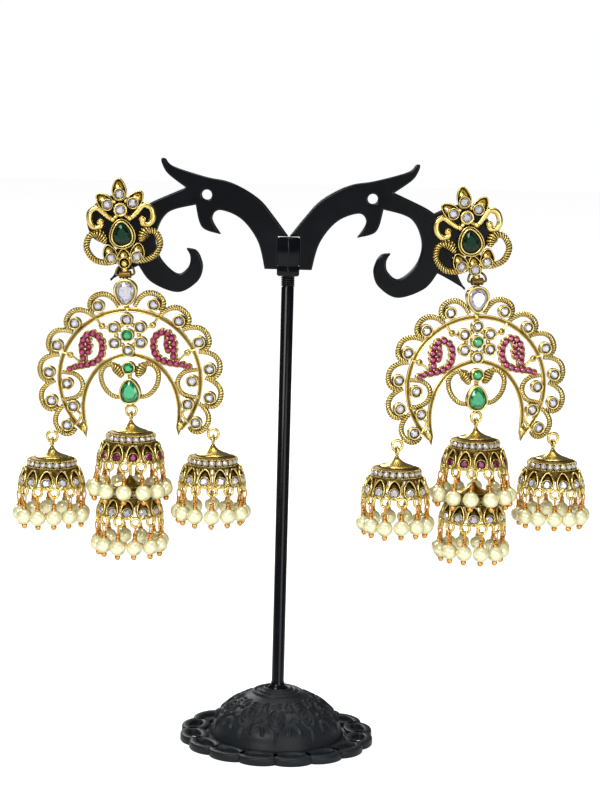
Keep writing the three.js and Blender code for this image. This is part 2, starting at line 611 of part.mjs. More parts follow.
function earringParts({ side, x, z, studRoll, roll, yaw }) {
  const group = new THREE.Group();
  const name = (word) => `${side}_${word}`;

  const studTurn = -radians(studRoll);
  const pivotX = x + PIVOT_DROP * Math.sin(radians(studRoll));
  const pivotZ = z - PIVOT_DROP * Math.cos(radians(studRoll));
  const chandTurn = -radians(roll);
  const chandYaw = radians(yaw);

  // The stud's own link wire lies along the bail's bore, in the crescent's frame
  const link = wire([[-1.5, 0.2, 1.9], [-2.2, 0, 0.9], [-2.2, 0, 0], [2.2, 0, 0], [2.2, 0, 0.9], [1.5, 0.2, 1.9]], LINK_WIRE, 6);
  link.rotateY(chandTurn).rotateZ(chandYaw).translate(pivotX - x, PIVOT_Y, pivotZ - z);
  const front = studFront().map((part) => part.rotateY(studTurn));
  front.push(studCollar().rotateY(studTurn), link);
  const stud = piece(name('stud'), geometryOf(join(front)), GOLD);
  stud.position.set(x, 0, z);

  const face = STUD_BACK - STUD_PLATE - 0.4 - GAP;
  const emerald = cutStone(pearOutline(0, -0.1, 4.4, 5.6, 1), vec(0, -0.4), face, face - 0.5, face - 0.9);
  const studStone = piece(name('stud_emerald'), emerald.rotateY(studTurn), GREEN);
  studStone.position.set(x, 0, z);
  const nut = piece(name('clutch'), clutch(), GOLD);
  nut.position.set(x, 0, z);
  group.add(stud, studStone, nut);

  const turnedYaw = new THREE.Group();
  turnedYaw.position.set(pivotX, PIVOT_Y, pivotZ);
  turnedYaw.rotation.z = chandYaw;
  const chand = new THREE.Group();
  chand.rotation.y = chandTurn;
  chand.add(piece(name('crescent'), geometryOf(join(crescentFrame())), GOLD), ...frameStones(side));
  chand.add(piece(name('ruby_left'), birdStones(-1), RUBY), piece(name('ruby_right'), birdStones(1), RUBY));
  turnedYaw.add(chand);

  // Bells hang plumb from the bottom wire of their rings
  const hang = (ring) => {
    const spot = new THREE.Vector3(ring.out, 0, -ring.drop).applyAxisAngle(new THREE.Vector3(0, 1, 0), chandTurn);
    const group_ = new THREE.Group();
    group_.position.set(spot.x, 0, spot.z - RING_RADIUS);
    turnedYaw.add(group_);
    return group_;
  };
  [-1, 1].forEach((sign) => {
    const word = sign < 0 ? 'left' : 'right';
    const place = hang({ out: sign * END_RING.out, drop: END_RING.drop });
    place.add(piece(name(`bell_${word}`), bell(0, []), GOLD));
    place.add(piece(name(`fringe_${word}`), pearlRing(SIDE_FRINGE_RADIUS, 0), PEARL));
  });
  const middle = hang(PENDANT_RING);
  middle.add(piece(name('bell_upper'), bell(0, [staple()]), GOLD));
  middle.add(piece(name('fringe_upper'), pearlRing(UPPER_FRINGE_RADIUS, 0), PEARL));
  const lower = new THREE.Group();
  lower.position.z = -CEILING_DROP;
  const sink = LOWER_DROP - CEILING_DROP;
  lower.add(piece(name('bell_lower'), bell(sink, []), GOLD));
  lower.add(piece(name('fringe_lower'), pearlRing(SIDE_FRINGE_RADIUS, sink), PEARL));
  middle.add(lower);

  group.add(turnedYaw);
  return group;
}

const model = new THREE.Group();
model.add(piece('stand_base', standBase(), BLACK));
model.add(piece('stand_pole', standPole(), BLACK));
model.add(piece('stand_hub', standHub(), BLACK));
model.add(piece('stand_arm_left', sealed(standArm(-1, EARRINGS[0])), BLACK));
model.add(piece('stand_arm_right', sealed(standArm(1, EARRINGS[1])), BLACK));
EARRINGS.forEach((earring) => model.add(earringParts(earring)));

export default model;
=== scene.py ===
"""A pair of jhumka earrings on a plain display stand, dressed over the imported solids.

The makers below work in millimetres, each in its own frame: across, depth (the front is
negative) and up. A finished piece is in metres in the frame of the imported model.
"""

import json
import logging
import math
from collections.abc import Callable, Sequence
from dataclasses import dataclass, field
from enum import Enum

import bmesh
import bpy
import numpy as np
from mathutils import Matrix, Vector


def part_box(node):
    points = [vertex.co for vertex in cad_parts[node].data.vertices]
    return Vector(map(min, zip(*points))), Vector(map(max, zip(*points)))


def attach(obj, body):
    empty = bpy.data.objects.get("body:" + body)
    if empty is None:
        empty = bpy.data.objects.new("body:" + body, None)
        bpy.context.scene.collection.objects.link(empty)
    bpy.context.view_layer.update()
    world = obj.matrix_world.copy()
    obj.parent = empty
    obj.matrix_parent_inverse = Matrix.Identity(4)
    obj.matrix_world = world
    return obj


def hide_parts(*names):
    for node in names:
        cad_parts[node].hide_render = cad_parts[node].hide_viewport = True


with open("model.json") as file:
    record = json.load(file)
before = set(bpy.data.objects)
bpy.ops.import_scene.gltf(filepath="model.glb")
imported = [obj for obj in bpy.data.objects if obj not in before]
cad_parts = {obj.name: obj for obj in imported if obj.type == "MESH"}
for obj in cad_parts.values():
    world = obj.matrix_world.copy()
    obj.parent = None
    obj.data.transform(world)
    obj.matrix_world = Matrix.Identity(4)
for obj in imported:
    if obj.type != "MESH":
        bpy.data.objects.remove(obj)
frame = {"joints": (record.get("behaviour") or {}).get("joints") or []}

log = logging.getLogger("jhumka")

MM = 0.001
FULL_TURN = 2 * math.pi
FRONT = -1.0
PIN = 1e-3
Point = Sequence[float]


class Slot(Enum):
    """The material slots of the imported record."""

    PLASTIC = "stand_plastic"
    GOLD = "gold"
    EMERALD = "emerald"
    CRYSTAL = "crystal"
    RUBY = "ruby"
    PEARL = "pearl"


class Cut(Enum):
    """How the crown of a stone is cut: the scales and the rises of its rings of corners."""

    BRILLIANT = ((1.0, 0.0), (0.82, 0.55), (0.52, 1.0))
    STEP = ((1.0, 0.0), (0.86, 0.45), (0.72, 0.75), (0.6, 1.0))


# Node trees


class Nodes:
    """A node tree that is being put together."""

    tree: bpy.types.NodeTree

    def feed(self, socket: bpy.types.NodeSocket, value: object) -> None:
        """Links a socket to another one, or gives it a value; a colour comes without its alpha."""
        if isinstance(value, bpy.types.NodeSocket):
            self.tree.links.new(value, socket)
        else:
            socket.default_value = (*value, 1.0) if isinstance(value, tuple) else value

    def add(self, kind: str, inputs: dict | None = None, **settings: object) -> bpy.types.Node:
        """Adds a node.

        Args:
            kind: the node's type name.
            inputs: a value or an output socket for each input, by name or by number.
            **settings: attributes of the node itself.

        Returns:
            The new node.
        """
        node = self.tree.nodes.new(kind)
        for key, value in settings.items():
            setattr(node, key, value)
        for key, value in (inputs or {}).items():
            self.feed(node.inputs[key], value)
        return node

    def calc(self, operation: str, a: object, b: object = 0.0) -> bpy.types.NodeSocket:
        """Returns the result of a sum of two numbers."""
        return self.add("ShaderNodeMath", {0: a, 1: b}, operation=operation).outputs[0]


class Paint(Nodes):
    """A node material that is being mixed."""

    def __init__(self, name: str) -> None:
        """Starts a material of that name with a plain Principled shader."""
        self.material = bpy.data.materials.new(name)
        self.material.use_nodes = True
        self.tree = self.material.node_tree
        self.shader = self.tree.nodes["Principled BSDF"]
        self.place = self.add("ShaderNodeTexCoord").outputs["Object"]

    def noise(self, scale: float, detail: float = 3.0, roughness: float = 0.55) -> bpy.types.NodeSocket:
        """Returns a cloudy value from 0 to 1; scale is in features per metre."""
        inputs = {"Vector": self.place, "Scale": scale, "Detail": detail, "Roughness": roughness}
        return self.add("ShaderNodeTexNoise", inputs).outputs["Fac"]

    def steps(
        self, value: bpy.types.NodeSocket, low: float, high: float, to: Sequence[float] = (0.0, 1.0)
    ) -> bpy.types.NodeSocket:
        """Maps a value's stretch from low to high onto another stretch.

        Args:
            value: the value to map.
            low: where the stretch starts.
            high: where it ends.
            to: the results at low and at high.

        Returns:
            The mapped value.
        """
        inputs = {"Value": value, "From Min": low, "From Max": high, "To Min": to[0], "To Max": to[1]}
        return self.add("ShaderNodeMapRange", inputs, clamp=True).outputs["Result"]

    def mix(self, factor: object, a: object, b: object) -> bpy.types.NodeSocket:
        """Returns colour a turned into colour b by the factor."""
        return self.add("ShaderNodeMix", {0: factor, 6: a, 7: b}, data_type="RGBA").outputs[2]

    def bump(self, height: bpy.types.NodeSocket, depth: float, strength: float) -> None:
        """Gives the shader a relief; depth is in metres."""
        node = self.add("ShaderNodeBump", {"Height": height, "Distance": depth, "Strength": strength})
        self.set(Normal=node.outputs["Normal"])

    def set(self, **values: object) -> None:
        """Gives inputs of the shader a value or a link, with _ in place of each space."""
        for key, value in values.items():
            self.feed(self.shader.inputs[key.replace("_", " ")], value)

@dataclass(frozen=True)
class AntiqueGold:
    """Cast gold plate with painted shade: dark and rough in recesses and rope grooves, where the dark is
    partly antique oxide, and bright and polished elsewhere.
    """

    name: str
    bright: tuple = (0.92, 0.755, 0.28)
    # dark is the painted shade colour; reach is how far the occlusion looks; open_from and open_to are where
    # the painted shade fades into bright plate
    dark: tuple = (0.075, 0.043, 0.010)
    reach: float = 0.9
    polish: float = 0.24
    open_from: float = 0.34
    open_to: float = 0.86

    def material(self) -> bpy.types.Material:
        """Returns the node material."""
        paint = Paint(self.name)
        # painted shade: ambient occlusion darkens recesses, corners and gaps between parts in the base colour
        shade = paint.add("ShaderNodeAmbientOcclusion", {"Distance": self.reach * MM}, samples=12)
        spots = paint.noise(900.0, 4.0)
        # painted shade: the rope's groove share darkens the grooves between its strands
        groove = paint.add("ShaderNodeAttribute", attribute_name="deep").outputs["Fac"]
        seen = paint.calc("ADD", shade.outputs["AO"], paint.steps(spots, 0.3, 0.7, (-0.12, 0.12)))
        left = paint.calc("SUBTRACT", seen, paint.steps(groove, 0.45, 1.0, (0.0, 0.85)))
        unshaded = paint.steps(left, self.open_from, self.open_to)
        warm = tuple(v * f for v, f in zip(self.bright, (0.93, 0.82, 0.62)))
        plate = paint.mix(paint.steps(paint.noise(260.0, 2.0), 0.35, 0.7), self.bright, warm)
        paint.set(
            Base_Color=paint.mix(unshaded, self.dark, plate),
            Roughness=paint.steps(unshaded, 0.0, 1.0, (self.polish + 0.28, self.polish)),
            Metallic=1.0,
        )
        paint.bump(paint.noise(2600.0, 3.0), 0.00006, 0.5)
        return paint.material


@dataclass(frozen=True)
class CutGlass:
    """A small cut stone with painted reflections: each facet has its own tone, bright or dark, as if it threw
    back its own share of the light.
    """

    name: str
    # light and deep are the bright and the dark colour of the painted reflections
    light: tuple
    deep: tuple
    metallic: float = 0.0
    clear: float = 0.0
    polish: float = 0.05
    bend: float = 1.75

    def material(self) -> bpy.types.Material:
        """Returns the node material."""
        paint = Paint(self.name)
        # painted reflections: each facet's stored tone, from dark to light, stands for the glint it throws
        # back
        facet = paint.add("ShaderNodeAttribute", attribute_name="facet").outputs["Fac"]
        cloud = paint.steps(paint.noise(1500.0, 2.0), 0.3, 0.7, (-0.16, 0.16))
        share = paint.calc("ADD", facet, cloud)
        colour = paint.mix(paint.steps(share, 0.08, 0.92), self.deep, self.light)
        rough = paint.steps(facet, 0.0, 1.0, (self.polish + 0.06, self.polish))
        paint.set(Base_Color=colour, Roughness=rough, Metallic=self.metallic)
        paint.set(Transmission_Weight=self.clear, IOR=self.bend)
        paint.set(Coat_Weight=1.0, Coat_Roughness=0.02, Coat_IOR=min(1.5, self.bend))
        return paint.material


@dataclass(frozen=True)
class PearlLustre:
    """Cream pearl with a deep glossy skin, its cream face turning to a darker, greener rim as painted shade.
    """

    name: str = "cream pearl"
    face: tuple = (0.96, 0.92, 0.56)
    # rim is the colour of the painted shade where the skin turns away from the view
    rim: tuple = (0.46, 0.42, 0.06)

    def material(self) -> bpy.types.Material:
        """Returns the node material."""
        paint = Paint(self.name)
        # painted shade: darker and greener towards the rim, by the angle to the view
        edge = paint.add("ShaderNodeLayerWeight", {"Blend": 0.35}).outputs["Facing"]
        colour = paint.mix(paint.steps(edge, 0.12, 0.85), self.face, self.rim)
        cloud = paint.steps(paint.noise(420.0, 2.0), 0.35, 0.7, (0.0, 0.12))
        paint.set(Base_Color=paint.mix(cloud, colour, (0.93, 0.90, 0.62)))
        paint.set(Roughness=paint.steps(paint.noise(700.0), 0.3, 0.7, (0.27, 0.3)), Metallic=0.3)
        paint.set(Coat_Weight=1.0, Coat_Roughness=0.06, Coat_IOR=2.1, Specular_IOR_Level=0.7)
        paint.set(Subsurface_Weight=0.12, Subsurface_Scale=0.0012)
        return paint.material


@dataclass(frozen=True)
class MouldedPlastic:
    """Black moulded plastic: a soft gloss over the faint skin of the mould."""

    name: str
    colour: tuple
    gloss: float
    grain: float

    def material(self) -> bpy.types.Material:
        """Returns the node material."""
        paint = Paint(self.name)
        patches = paint.noise(120.0, 4.0)
        dust = paint.steps(paint.noise(1900.0, 2.0), 0.7, 0.76, (0.0, 0.4))
        worn = tuple(3.2 * v + 0.006 for v in self.colour)
        base = paint.mix(paint.steps(patches, 0.4, 0.75), self.colour, tuple(1.7 * v for v in self.colour))
        paint.set(Base_Color=paint.mix(dust, base, worn), Specular_IOR_Level=0.22)
        paint.set(Roughness=paint.steps(patches, 0.3, 0.7, (self.gloss, self.gloss + 0.08)))
        paint.bump(paint.noise(2200.0, 2.0), 0.00004 * self.grain, 0.6)
        return paint.material


@dataclass(frozen=True)
class PaleFloor:
    """Plain white paper under the stand."""

    name: str = "white paper"

    def material(self) -> bpy.types.Material:
        """Returns the node material."""
        paint = Paint(self.name)
        paint.set(Base_Color=paint.mix(paint.noise(40.0), (0.48, 0.48, 0.48), (0.52, 0.52, 0.52)))
        paint.set(Roughness=0.8, Specular_IOR_Level=0.1)
        seen = paint.add("ShaderNodeLightPath").outputs["Is Camera Ray"]
        paint.set(Emission_Color=(1.0, 1.0, 1.0), Emission_Strength=paint.steps(seen, 0.0, 1.0, (0.22, 0.72)))
        return paint.material


def mixed(recipe: AntiqueGold | CutGlass | PearlLustre | MouldedPlastic) -> bpy.types.Material:
    """Returns a field whose default is the recipe's material."""
    return field(default_factory=recipe.material)


@dataclass
class Finishes:
    """Every finish of the object, mixed once and shared by its pieces."""

    gold: bpy.types.Material = mixed(AntiqueGold("antique gold"))
    wire: bpy.types.Material = mixed(
        AntiqueGold("warm gold wire", (0.92, 0.50, 0.12), (0.22, 0.09, 0.02), reach=0.5, polish=0.2)
    )
    # painted shade: a dark copy of the gold for pieces that stand where shade falls: stone floors, cup holes,
    # rail grooves, cell floors, the bell roof, the bail and the link
    shade: bpy.types.Material = mixed(
        AntiqueGold(
            "painted shade gold", (0.25, 0.165, 0.05), (0.03, 0.017, 0.006),
            polish=0.42, open_from=0.4, open_to=0.95,
        )
    )
    crystal: bpy.types.Material = mixed(
        CutGlass("white stone", (0.72, 0.70, 0.77), (0.13, 0.12, 0.14), metallic=0.3)
    )
    emerald: bpy.types.Material = mixed(
        CutGlass("emerald green stone", (0.012, 0.44, 0.15), (0.0, 0.03, 0.01), metallic=0.15)
    )
    dusk: bpy.types.Material = mixed(
        CutGlass("dark emerald green stone", (0.0015, 0.030, 0.011), (0.0, 0.003, 0.001), bend=1.3)
    )
    ruby: bpy.types.Material = mixed(
        CutGlass("ruby stone", (0.42, 0.010, 0.115), (0.045, 0.001, 0.012), metallic=0.25)
    )
    garnet: bpy.types.Material = mixed(
        CutGlass("dark ruby stone", (0.17, 0.004, 0.055), (0.02, 0.0, 0.006), metallic=0.2, bend=1.4)
    )
    pearl: bpy.types.Material = mixed(PearlLustre())
    arm: bpy.types.Material = mixed(
        MouldedPlastic("glossy black plastic", (0.0018, 0.0022, 0.0034), 0.13, 0.2)
    )
    foot: bpy.types.Material = mixed(
        MouldedPlastic("satin black plastic", (0.0085, 0.0105, 0.0125), 0.36, 1.0)
    )


# Plain geometry


def smooth_path(points: Sequence[Point], per_span: int, closed: bool = False) -> np.ndarray:
    """Rounds a row of points into a path that passes through all of them.

    Args:
        points: the points, of two or three numbers each.
        per_span: how many steps lie between two points.
        closed: whether the path runs back to its start.

    Returns:
        The path's points.
    """
    p = np.asarray(points, float)
    n = len(p)
    pick = (lambda i: p[i % n]) if closed else (lambda i: p[min(max(i, 0), n - 1)])
    rows = []
    for i in range(n if closed else n - 1):
        a, b, c, d = (pick(i + k) for k in (-1, 0, 1, 2))
        for t in np.arange(per_span) / per_span:
            bend = (2 * a - 5 * b + 4 * c - d) * t**2 + (3 * b - a - 3 * c + d) * t**3
            rows.append(0.5 * (2 * b + (c - a) * t + bend))
    if not closed:
        rows.append(p[-1])
    return np.array(rows)


def upright(points: Sequence[Point], depth: float = 0.0) -> np.ndarray:
    """Sets a path of (across, up) points upright at one depth."""
    p = np.asarray(points, float)
    return np.column_stack([p[:, 0], np.full(len(p), depth), p[:, 1]])


def both_sides(points: Sequence[Point], per_span: int, depth: float = 0.0) -> list[np.ndarray]:
    """Returns the rounded upright path of (out, up) points on the left and on the right."""
    return [upright(smooth_path([(sign * x, z) for x, z in points], per_span), depth) for sign in (-1, 1)]


def evened(path: np.ndarray, spacing: float | None = None, count: int = 0) -> np.ndarray:
    """Sets the (across, up) points of a path at even steps.

    Args:
        path: the path.
        spacing: about how long a step is, or None where the count is given.
        count: how many points the path gets.

    Returns:
        The path's new points.
    """
    gone = np.concatenate([[0], np.cumsum(np.linalg.norm(np.diff(path, axis=0), axis=1))])
    even = np.linspace(0, gone[-1], round(gone[-1] / spacing) + 1 if spacing else count)
    return np.column_stack([np.interp(even, gone, path[:, 0]), np.interp(even, gone, path[:, 1])])


def turns(sides: int) -> np.ndarray:
    """Returns even angles round a full turn."""
    return FULL_TURN * np.arange(sides) / sides


def level_rings(profile: Sequence[Point], sides: int) -> list[np.ndarray]:
    """Returns the level ring of corners of each (radius, height) of a turned shape."""
    turn = turns(sides)
    return [np.column_stack([r * np.cos(turn), r * np.sin(turn), np.full(sides, z)]) for r, z in profile]


def circle_outline(radius: float, sides: int = 16) -> np.ndarray:
    """Returns a round outline of (across, up) points, anticlockwise from the right."""
    turn = turns(sides)
    return np.column_stack([radius * np.cos(turn), radius * np.sin(turn)])


def pear_outline(width: float, height: float, point: float = 1.0, sides: int = 24) -> np.ndarray:
    """Returns a pear outline about its middle.

    Args:
        width: its greatest width.
        height: its height with the point.
        point: 1 for a point at the top, -1 for one at the bottom.
        sides: how many corners it has.

    Returns:
        The outline's (across, up) points, anticlockwise.
    """
    turn = turns(sides)
    pinch = 1 - 0.42 * ((1 + np.cos(turn)) / 2) ** 1.3
    across = -point * 0.56 * width * np.sin(turn) * pinch
    return np.column_stack([across, point * 0.5 * height * np.cos(turn)])


def widened(outline: np.ndarray, by: float) -> np.ndarray:
    """Moves each point of a closed anticlockwise outline outwards."""
    run = np.roll(outline, -1, axis=0) - np.roll(outline, 1, axis=0)
    run /= np.linalg.norm(run, axis=1, keepdims=True)
    return outline + by * np.column_stack([run[:, 1], -run[:, 0]])


def placed(at: Point = (0, 0, 0), tip: float = 0.0, roll: float = 0.0, spin: float = 0.0) -> Matrix:
    """Returns a place: turned about X, Y and Z in that order, then moved."""
    turn = Matrix.Rotation(spin, 4, "Z") @ Matrix.Rotation(roll, 4, "Y") @ Matrix.Rotation(tip, 4, "X")
    return Matrix.Translation(at) @ turn


def shown(name: str, data: bpy.types.ID) -> bpy.types.Object:
    """Returns a new object in the scene."""
    piece = bpy.data.objects.new(name, data)
    bpy.context.scene.collection.objects.link(piece)
    return piece


def settled(carrier: bpy.types.Object) -> bpy.types.Mesh:
    """Returns what an object comes to as a plain mesh, and takes the object away."""
    graph = bpy.context.evaluated_depsgraph_get()
    mesh = bpy.data.meshes.new_from_object(carrier.evaluated_get(graph))
    bpy.data.objects.remove(carrier)
    return mesh


class Draft:
    """The points and faces of one piece, gathered in its maker's frame."""

    def __init__(self) -> None:
        """Starts with nothing."""
        self.points: list[np.ndarray] = []
        self.faces: list[tuple[int, ...]] = []
        self.tones: list[float] = []
        self.flat: list[bool] = []
        self.count = 0

    def add(
        self,
        points: np.ndarray,
        faces: Sequence[Sequence[int]],
        place: Matrix | None = None,
        tones: Sequence[float] | None = None,
    ) -> None:
        """Adds a shape.

        Args:
            points: its corners.
            faces: the corners of each face.
            place: where it goes, or None where it stands.
            tones: one painted reflection tone for each facet of a cut stone; other shapes are smooth.
        """
        points = np.asarray(points, float)
        if place is not None:
            m = np.array(place)
            points = points @ m[:3, :3].T + m[:3, 3]
        self.points.append(points)
        self.faces.extend(tuple(self.count + i for i in face) for face in faces)
        self.tones.extend(tones if tones is not None else [0.5] * len(faces))
        self.flat.extend([tones is not None] * len(faces))
        self.count += len(points)

    def rings(self, rings: Sequence[np.ndarray], place: Matrix | None = None, around: bool = False) -> None:
        """Adds a skin over a row of rings that all have as many corners.

        Args:
            rings: the rings, each of three-number points.
            place: where the shape goes.
            around: whether the last ring joins the first; the ends are closed where it doesn't.
        """
        n = len(rings[0])
        rows = len(rings) if around else len(rings) - 1
        faces = []
        for i in range(rows):
            a, b = i * n, ((i + 1) % len(rings)) * n
            faces.extend((a + k, a + (k + 1) % n, b + (k + 1) % n, b + k) for k in range(n))
        if not around:
            faces.append(tuple(range(n))[::-1])
            faces.append(tuple((len(rings) - 1) * n + k for k in range(n)))
        self.add(np.concatenate(rings), faces, place)

    def lathe(self, profile: Sequence[Point], sides: int, place: Matrix | None = None) -> None:
        """Adds a turned shape from (radius, height) points; a radius of 0 at an end makes a pole."""
        self.rings(level_rings([(max(r, PIN), z) for r, z in profile], sides), place)

    def hoop(self, section: Sequence[Point], sides: int, place: Matrix | None = None) -> None:
        """Adds a turned shape whose (radius, height) section is closed, so that it has a hole."""
        self.rings(level_rings(section, sides), place, around=True)

    def slab(self, outline: np.ndarray, back: float, front: float, place: Matrix | None = None) -> None:
        """Adds a plate with that outline; back and front are depths towards the front."""
        self.rings([upright(outline, FRONT * depth) for depth in (back, front)], place)

    def stone(
        self, outline: np.ndarray, base: float, rise: float, cut: Cut, seed: int, place: Matrix | None = None
    ) -> None:
        """Adds a cut stone that faces the front.

        Args:
            outline: the girdle, of an even number of corners.
            base: the girdle's depth, towards the front.
            rise: how far the table stands before the girdle.
            cut: the cut of the crown.
            seed: what the facets' painted reflection tones start from.
            place: where the stone goes.
        """
        rng = np.random.default_rng(seed)
        centre = outline.mean(axis=0)
        corners: list[np.ndarray] = []
        for scale, part in cut.value:
            corners.append(upright(centre + scale * (outline - centre), FRONT * (base + part * rise)))
        n = len(outline)
        faces: list[tuple[int, ...]] = [tuple(range(n))[::-1]]
        # painted reflections: the back is dark and each crown facet gets a random tone
        tones = [0.1]
        if cut is Cut.STEP:
            for i in range(len(corners) - 1):
                a, b = i * n, (i + 1) * n
                for k in range(0, n, 2):
                    faces.append((a + k, a + k + 1, a + (k + 2) % n, b + (k + 2) % n, b + k + 1, b + k))
                    tones.append(float(rng.uniform(0.05, 0.75)))
            faces.append(tuple((len(corners) - 1) * n + k for k in range(n)))
        else:
            for k in range(0, n, 2):
                after = (k + 2) % n
                faces += [(k, k + 1, n + k), (k + 1, after, n + after), (k + 1, n + after, n + k)]
                inner = 2 * n + k + 1
                beyond = 2 * n + (k + 3) % n
                faces += [(n + k, n + after, inner), (n + after, beyond, inner)]
                tones += [float(t) for t in rng.uniform(0.0, 1.0, 5)]
            faces.append(tuple(2 * n + k for k in range(1, n, 2)))
        # painted highlight: the table always gets a bright tone
        tones.append(float(rng.uniform(0.7, 1.0)))
        self.add(np.concatenate(corners), faces, place, tones)

    def collar(
        self, outline: np.ndarray, wall: float, back: float, front: float, place: Matrix | None = None
    ) -> None:
        """Adds the bezel that stands round a stone.

        Args:
            outline: the stone's girdle.
            wall: how thick the bezel is.
            back: its back, in depth towards the front.
            front: its lip, in depth towards the front.
            place: where it goes.
        """
        lip = min(0.16, 0.4 * wall)
        section = [
            (0.0, back), (wall, back), (wall, front - lip), (wall - 0.5 * lip, front - 0.3 * lip),
            (0.6 * wall, front), (0.3 * wall, front - 0.2 * lip), (0.0, front - 2.0 * lip),
        ]
        rings = [upright(widened(outline, out), FRONT * depth) for out, depth in section]
        self.rings(rings, place, around=True)

    def ball(self, at: Point, radius: float, sides: int = 12) -> None:
        """Adds a little ball."""
        angles = [math.pi * i / (sides // 2) for i in range(sides // 2 + 1)]
        profile = [(radius * math.sin(angle), -radius * math.cos(angle)) for angle in angles]
        self.lathe(profile, sides, Matrix.Translation(at))

    def mesh(self, name: str) -> bpy.types.Mesh:
        """Returns the gathered shapes as one mesh with its faces outwards and its facets' painted reflection
        tones.
        """
        mesh = bpy.data.meshes.new(name)
        mesh.from_pydata(np.concatenate(self.points).tolist(), [], self.faces)
        mesh.attributes.new("facet", "FLOAT", "FACE").data.foreach_set("value", self.tones)
        mesh.polygons.foreach_set("use_smooth", [not flat for flat in self.flat])
        work = bmesh.new()
        work.from_mesh(mesh)
        bmesh.ops.remove_doubles(work, verts=work.verts, dist=1e-5)
        bmesh.ops.delete(work, geom=[v for v in work.verts if not v.link_faces], context="VERTS")
        bmesh.ops.recalc_face_normals(work, faces=work.faces)
        work.to_mesh(mesh)
        work.free()
        return mesh


def path_mesh(
    paths: Sequence[np.ndarray], closed: bool = False, thick: Callable[[float], float] | None = None
) -> bpy.types.Mesh:
    """Makes a mesh of bare edges for a Geometry Nodes tree to follow.

    Args:
        paths: the paths, each of three-number points.
        closed: whether each path runs back to its start.
        thick: how thick the wire is at each share of its length, or None for 1 all along.

    Returns:
        The mesh, with the thickness as an attribute.
    """
    points: list[list[float]] = []
    edges: list[tuple[int, int]] = []
    sizes: list[float] = []
    for path in paths:
        start, n = len(points), len(path)
        points.extend(np.asarray(path, float).tolist())
        sizes.extend(thick(i / (n - 1)) if thick else 1.0 for i in range(n))
        edges.extend((start + i, start + (i + 1) % n) for i in range(n if closed else n - 1))
    mesh = bpy.data.meshes.new("path")
    mesh.from_pydata(points, edges, [])
    mesh.attributes.new("thick", "FLOAT", "POINT").data.foreach_set("value", sizes)
    return mesh


# Geometry Nodes


class Grower(Nodes):
    """A Geometry Nodes tree that turns one mesh into another."""

    def __init__(self, name: str, inputs: dict[str, float]) -> None:
        """Starts a tree.

        Args:
            name: the tree's name.
            inputs: the default of each named size; a whole number makes it a count.
        """
        self.tree = bpy.data.node_groups.new(name, "GeometryNodeTree")
        sockets = self.tree.interface
        sockets.new_socket("Geometry", in_out="INPUT", socket_type="NodeSocketGeometry")
        self.keys: dict[str, str] = {}
        for key, default in inputs.items():
            kind = "NodeSocketInt" if isinstance(default, int) else "NodeSocketFloat"
            socket = sockets.new_socket(key, in_out="INPUT", socket_type=kind)
            socket.default_value = default
            self.keys[key] = socket.identifier
        finish = sockets.new_socket("Finish", in_out="INPUT", socket_type="NodeSocketMaterial")
        self.keys["Finish"] = finish.identifier
        sockets.new_socket("Geometry", in_out="OUTPUT", socket_type="NodeSocketGeometry")
        self.given = self.tree.nodes.new("NodeGroupInput")
        self.build()

    def build(self) -> None:
        """Adds the tree's own nodes."""
        raise NotImplementedError


    def curves(self) -> bpy.types.NodeSocket:
        """Returns the given paths as curves, cut into even steps."""
        curve = self.add("GeometryNodeMeshToCurve", {"Mesh": self.given.outputs["Geometry"]})
        inputs = {"Curve": curve.outputs[0], "Length": self.given.outputs["Step"]}
        return self.add("GeometryNodeResampleCurve", inputs, mode="LENGTH").outputs[0]

    def sweep(self, curve: bpy.types.NodeSocket, section: bpy.types.NodeSocket) -> None:
        """Ends the tree with a section drawn along a curve, as thick as the radius and the path say."""
        thick = self.add("GeometryNodeInputNamedAttribute", {"Name": "thick"}, data_type="FLOAT").outputs[0]
        size = self.calc("MULTIPLY", thick, self.given.outputs["Radius"])
        inputs = {"Curve": curve, "Profile Curve": section, "Scale": size, "Fill Caps": True}
        self.close(self.add("GeometryNodeCurveToMesh", inputs).outputs[0])

    def close(self, geometry: bpy.types.NodeSocket, smooth: bool = True) -> None:
        """Ends the tree: instances made real, shading and finish set."""
        real = self.add("GeometryNodeRealizeInstances", {"Geometry": geometry}).outputs[0]
        if smooth:
            real = self.add("GeometryNodeSetShadeSmooth", {"Geometry": real, "Shade Smooth": True}).outputs[0]
        inputs = {"Geometry": real, "Material": self.given.outputs["Finish"]}
        done = self.add("GeometryNodeSetMaterial", inputs)
        self.add("NodeGroupOutput", {0: done.outputs[0]})

    def grow(self, seedling: bpy.types.Mesh, finish: bpy.types.Material, **sizes: float) -> bpy.types.Mesh:
        """Runs the tree.

        Args:
            seedling: the mesh that the tree starts from.
            finish: the material of the result.
            **sizes: the tree's inputs.

        Returns:
            The result as a plain mesh.
        """
        carrier = shown("carrier", seedling)
        modifier = carrier.modifiers.new("grow", "NODES")
        modifier.node_group = self.tree
        for key, value in {**sizes, "Finish": finish}.items():
            modifier[self.keys[key]] = value
        mesh = settled(carrier)
        if not mesh.materials:
            mesh.materials.append(finish)
        return mesh


class WireGrower(Grower):
    """Round wire along paths."""

    def __init__(self) -> None:
        """Builds the tree."""
        super().__init__("wire along a path", {"Radius": 0.3, "Step": 0.25, "Sides": 10})

    def build(self) -> None:
        """Sweeps a circle along each path."""
        inputs = {"Resolution": self.given.outputs["Sides"], "Radius": 1.0}
        section = self.add("GeometryNodeCurvePrimitiveCircle", inputs).outputs[0]
        self.sweep(self.curves(), section)


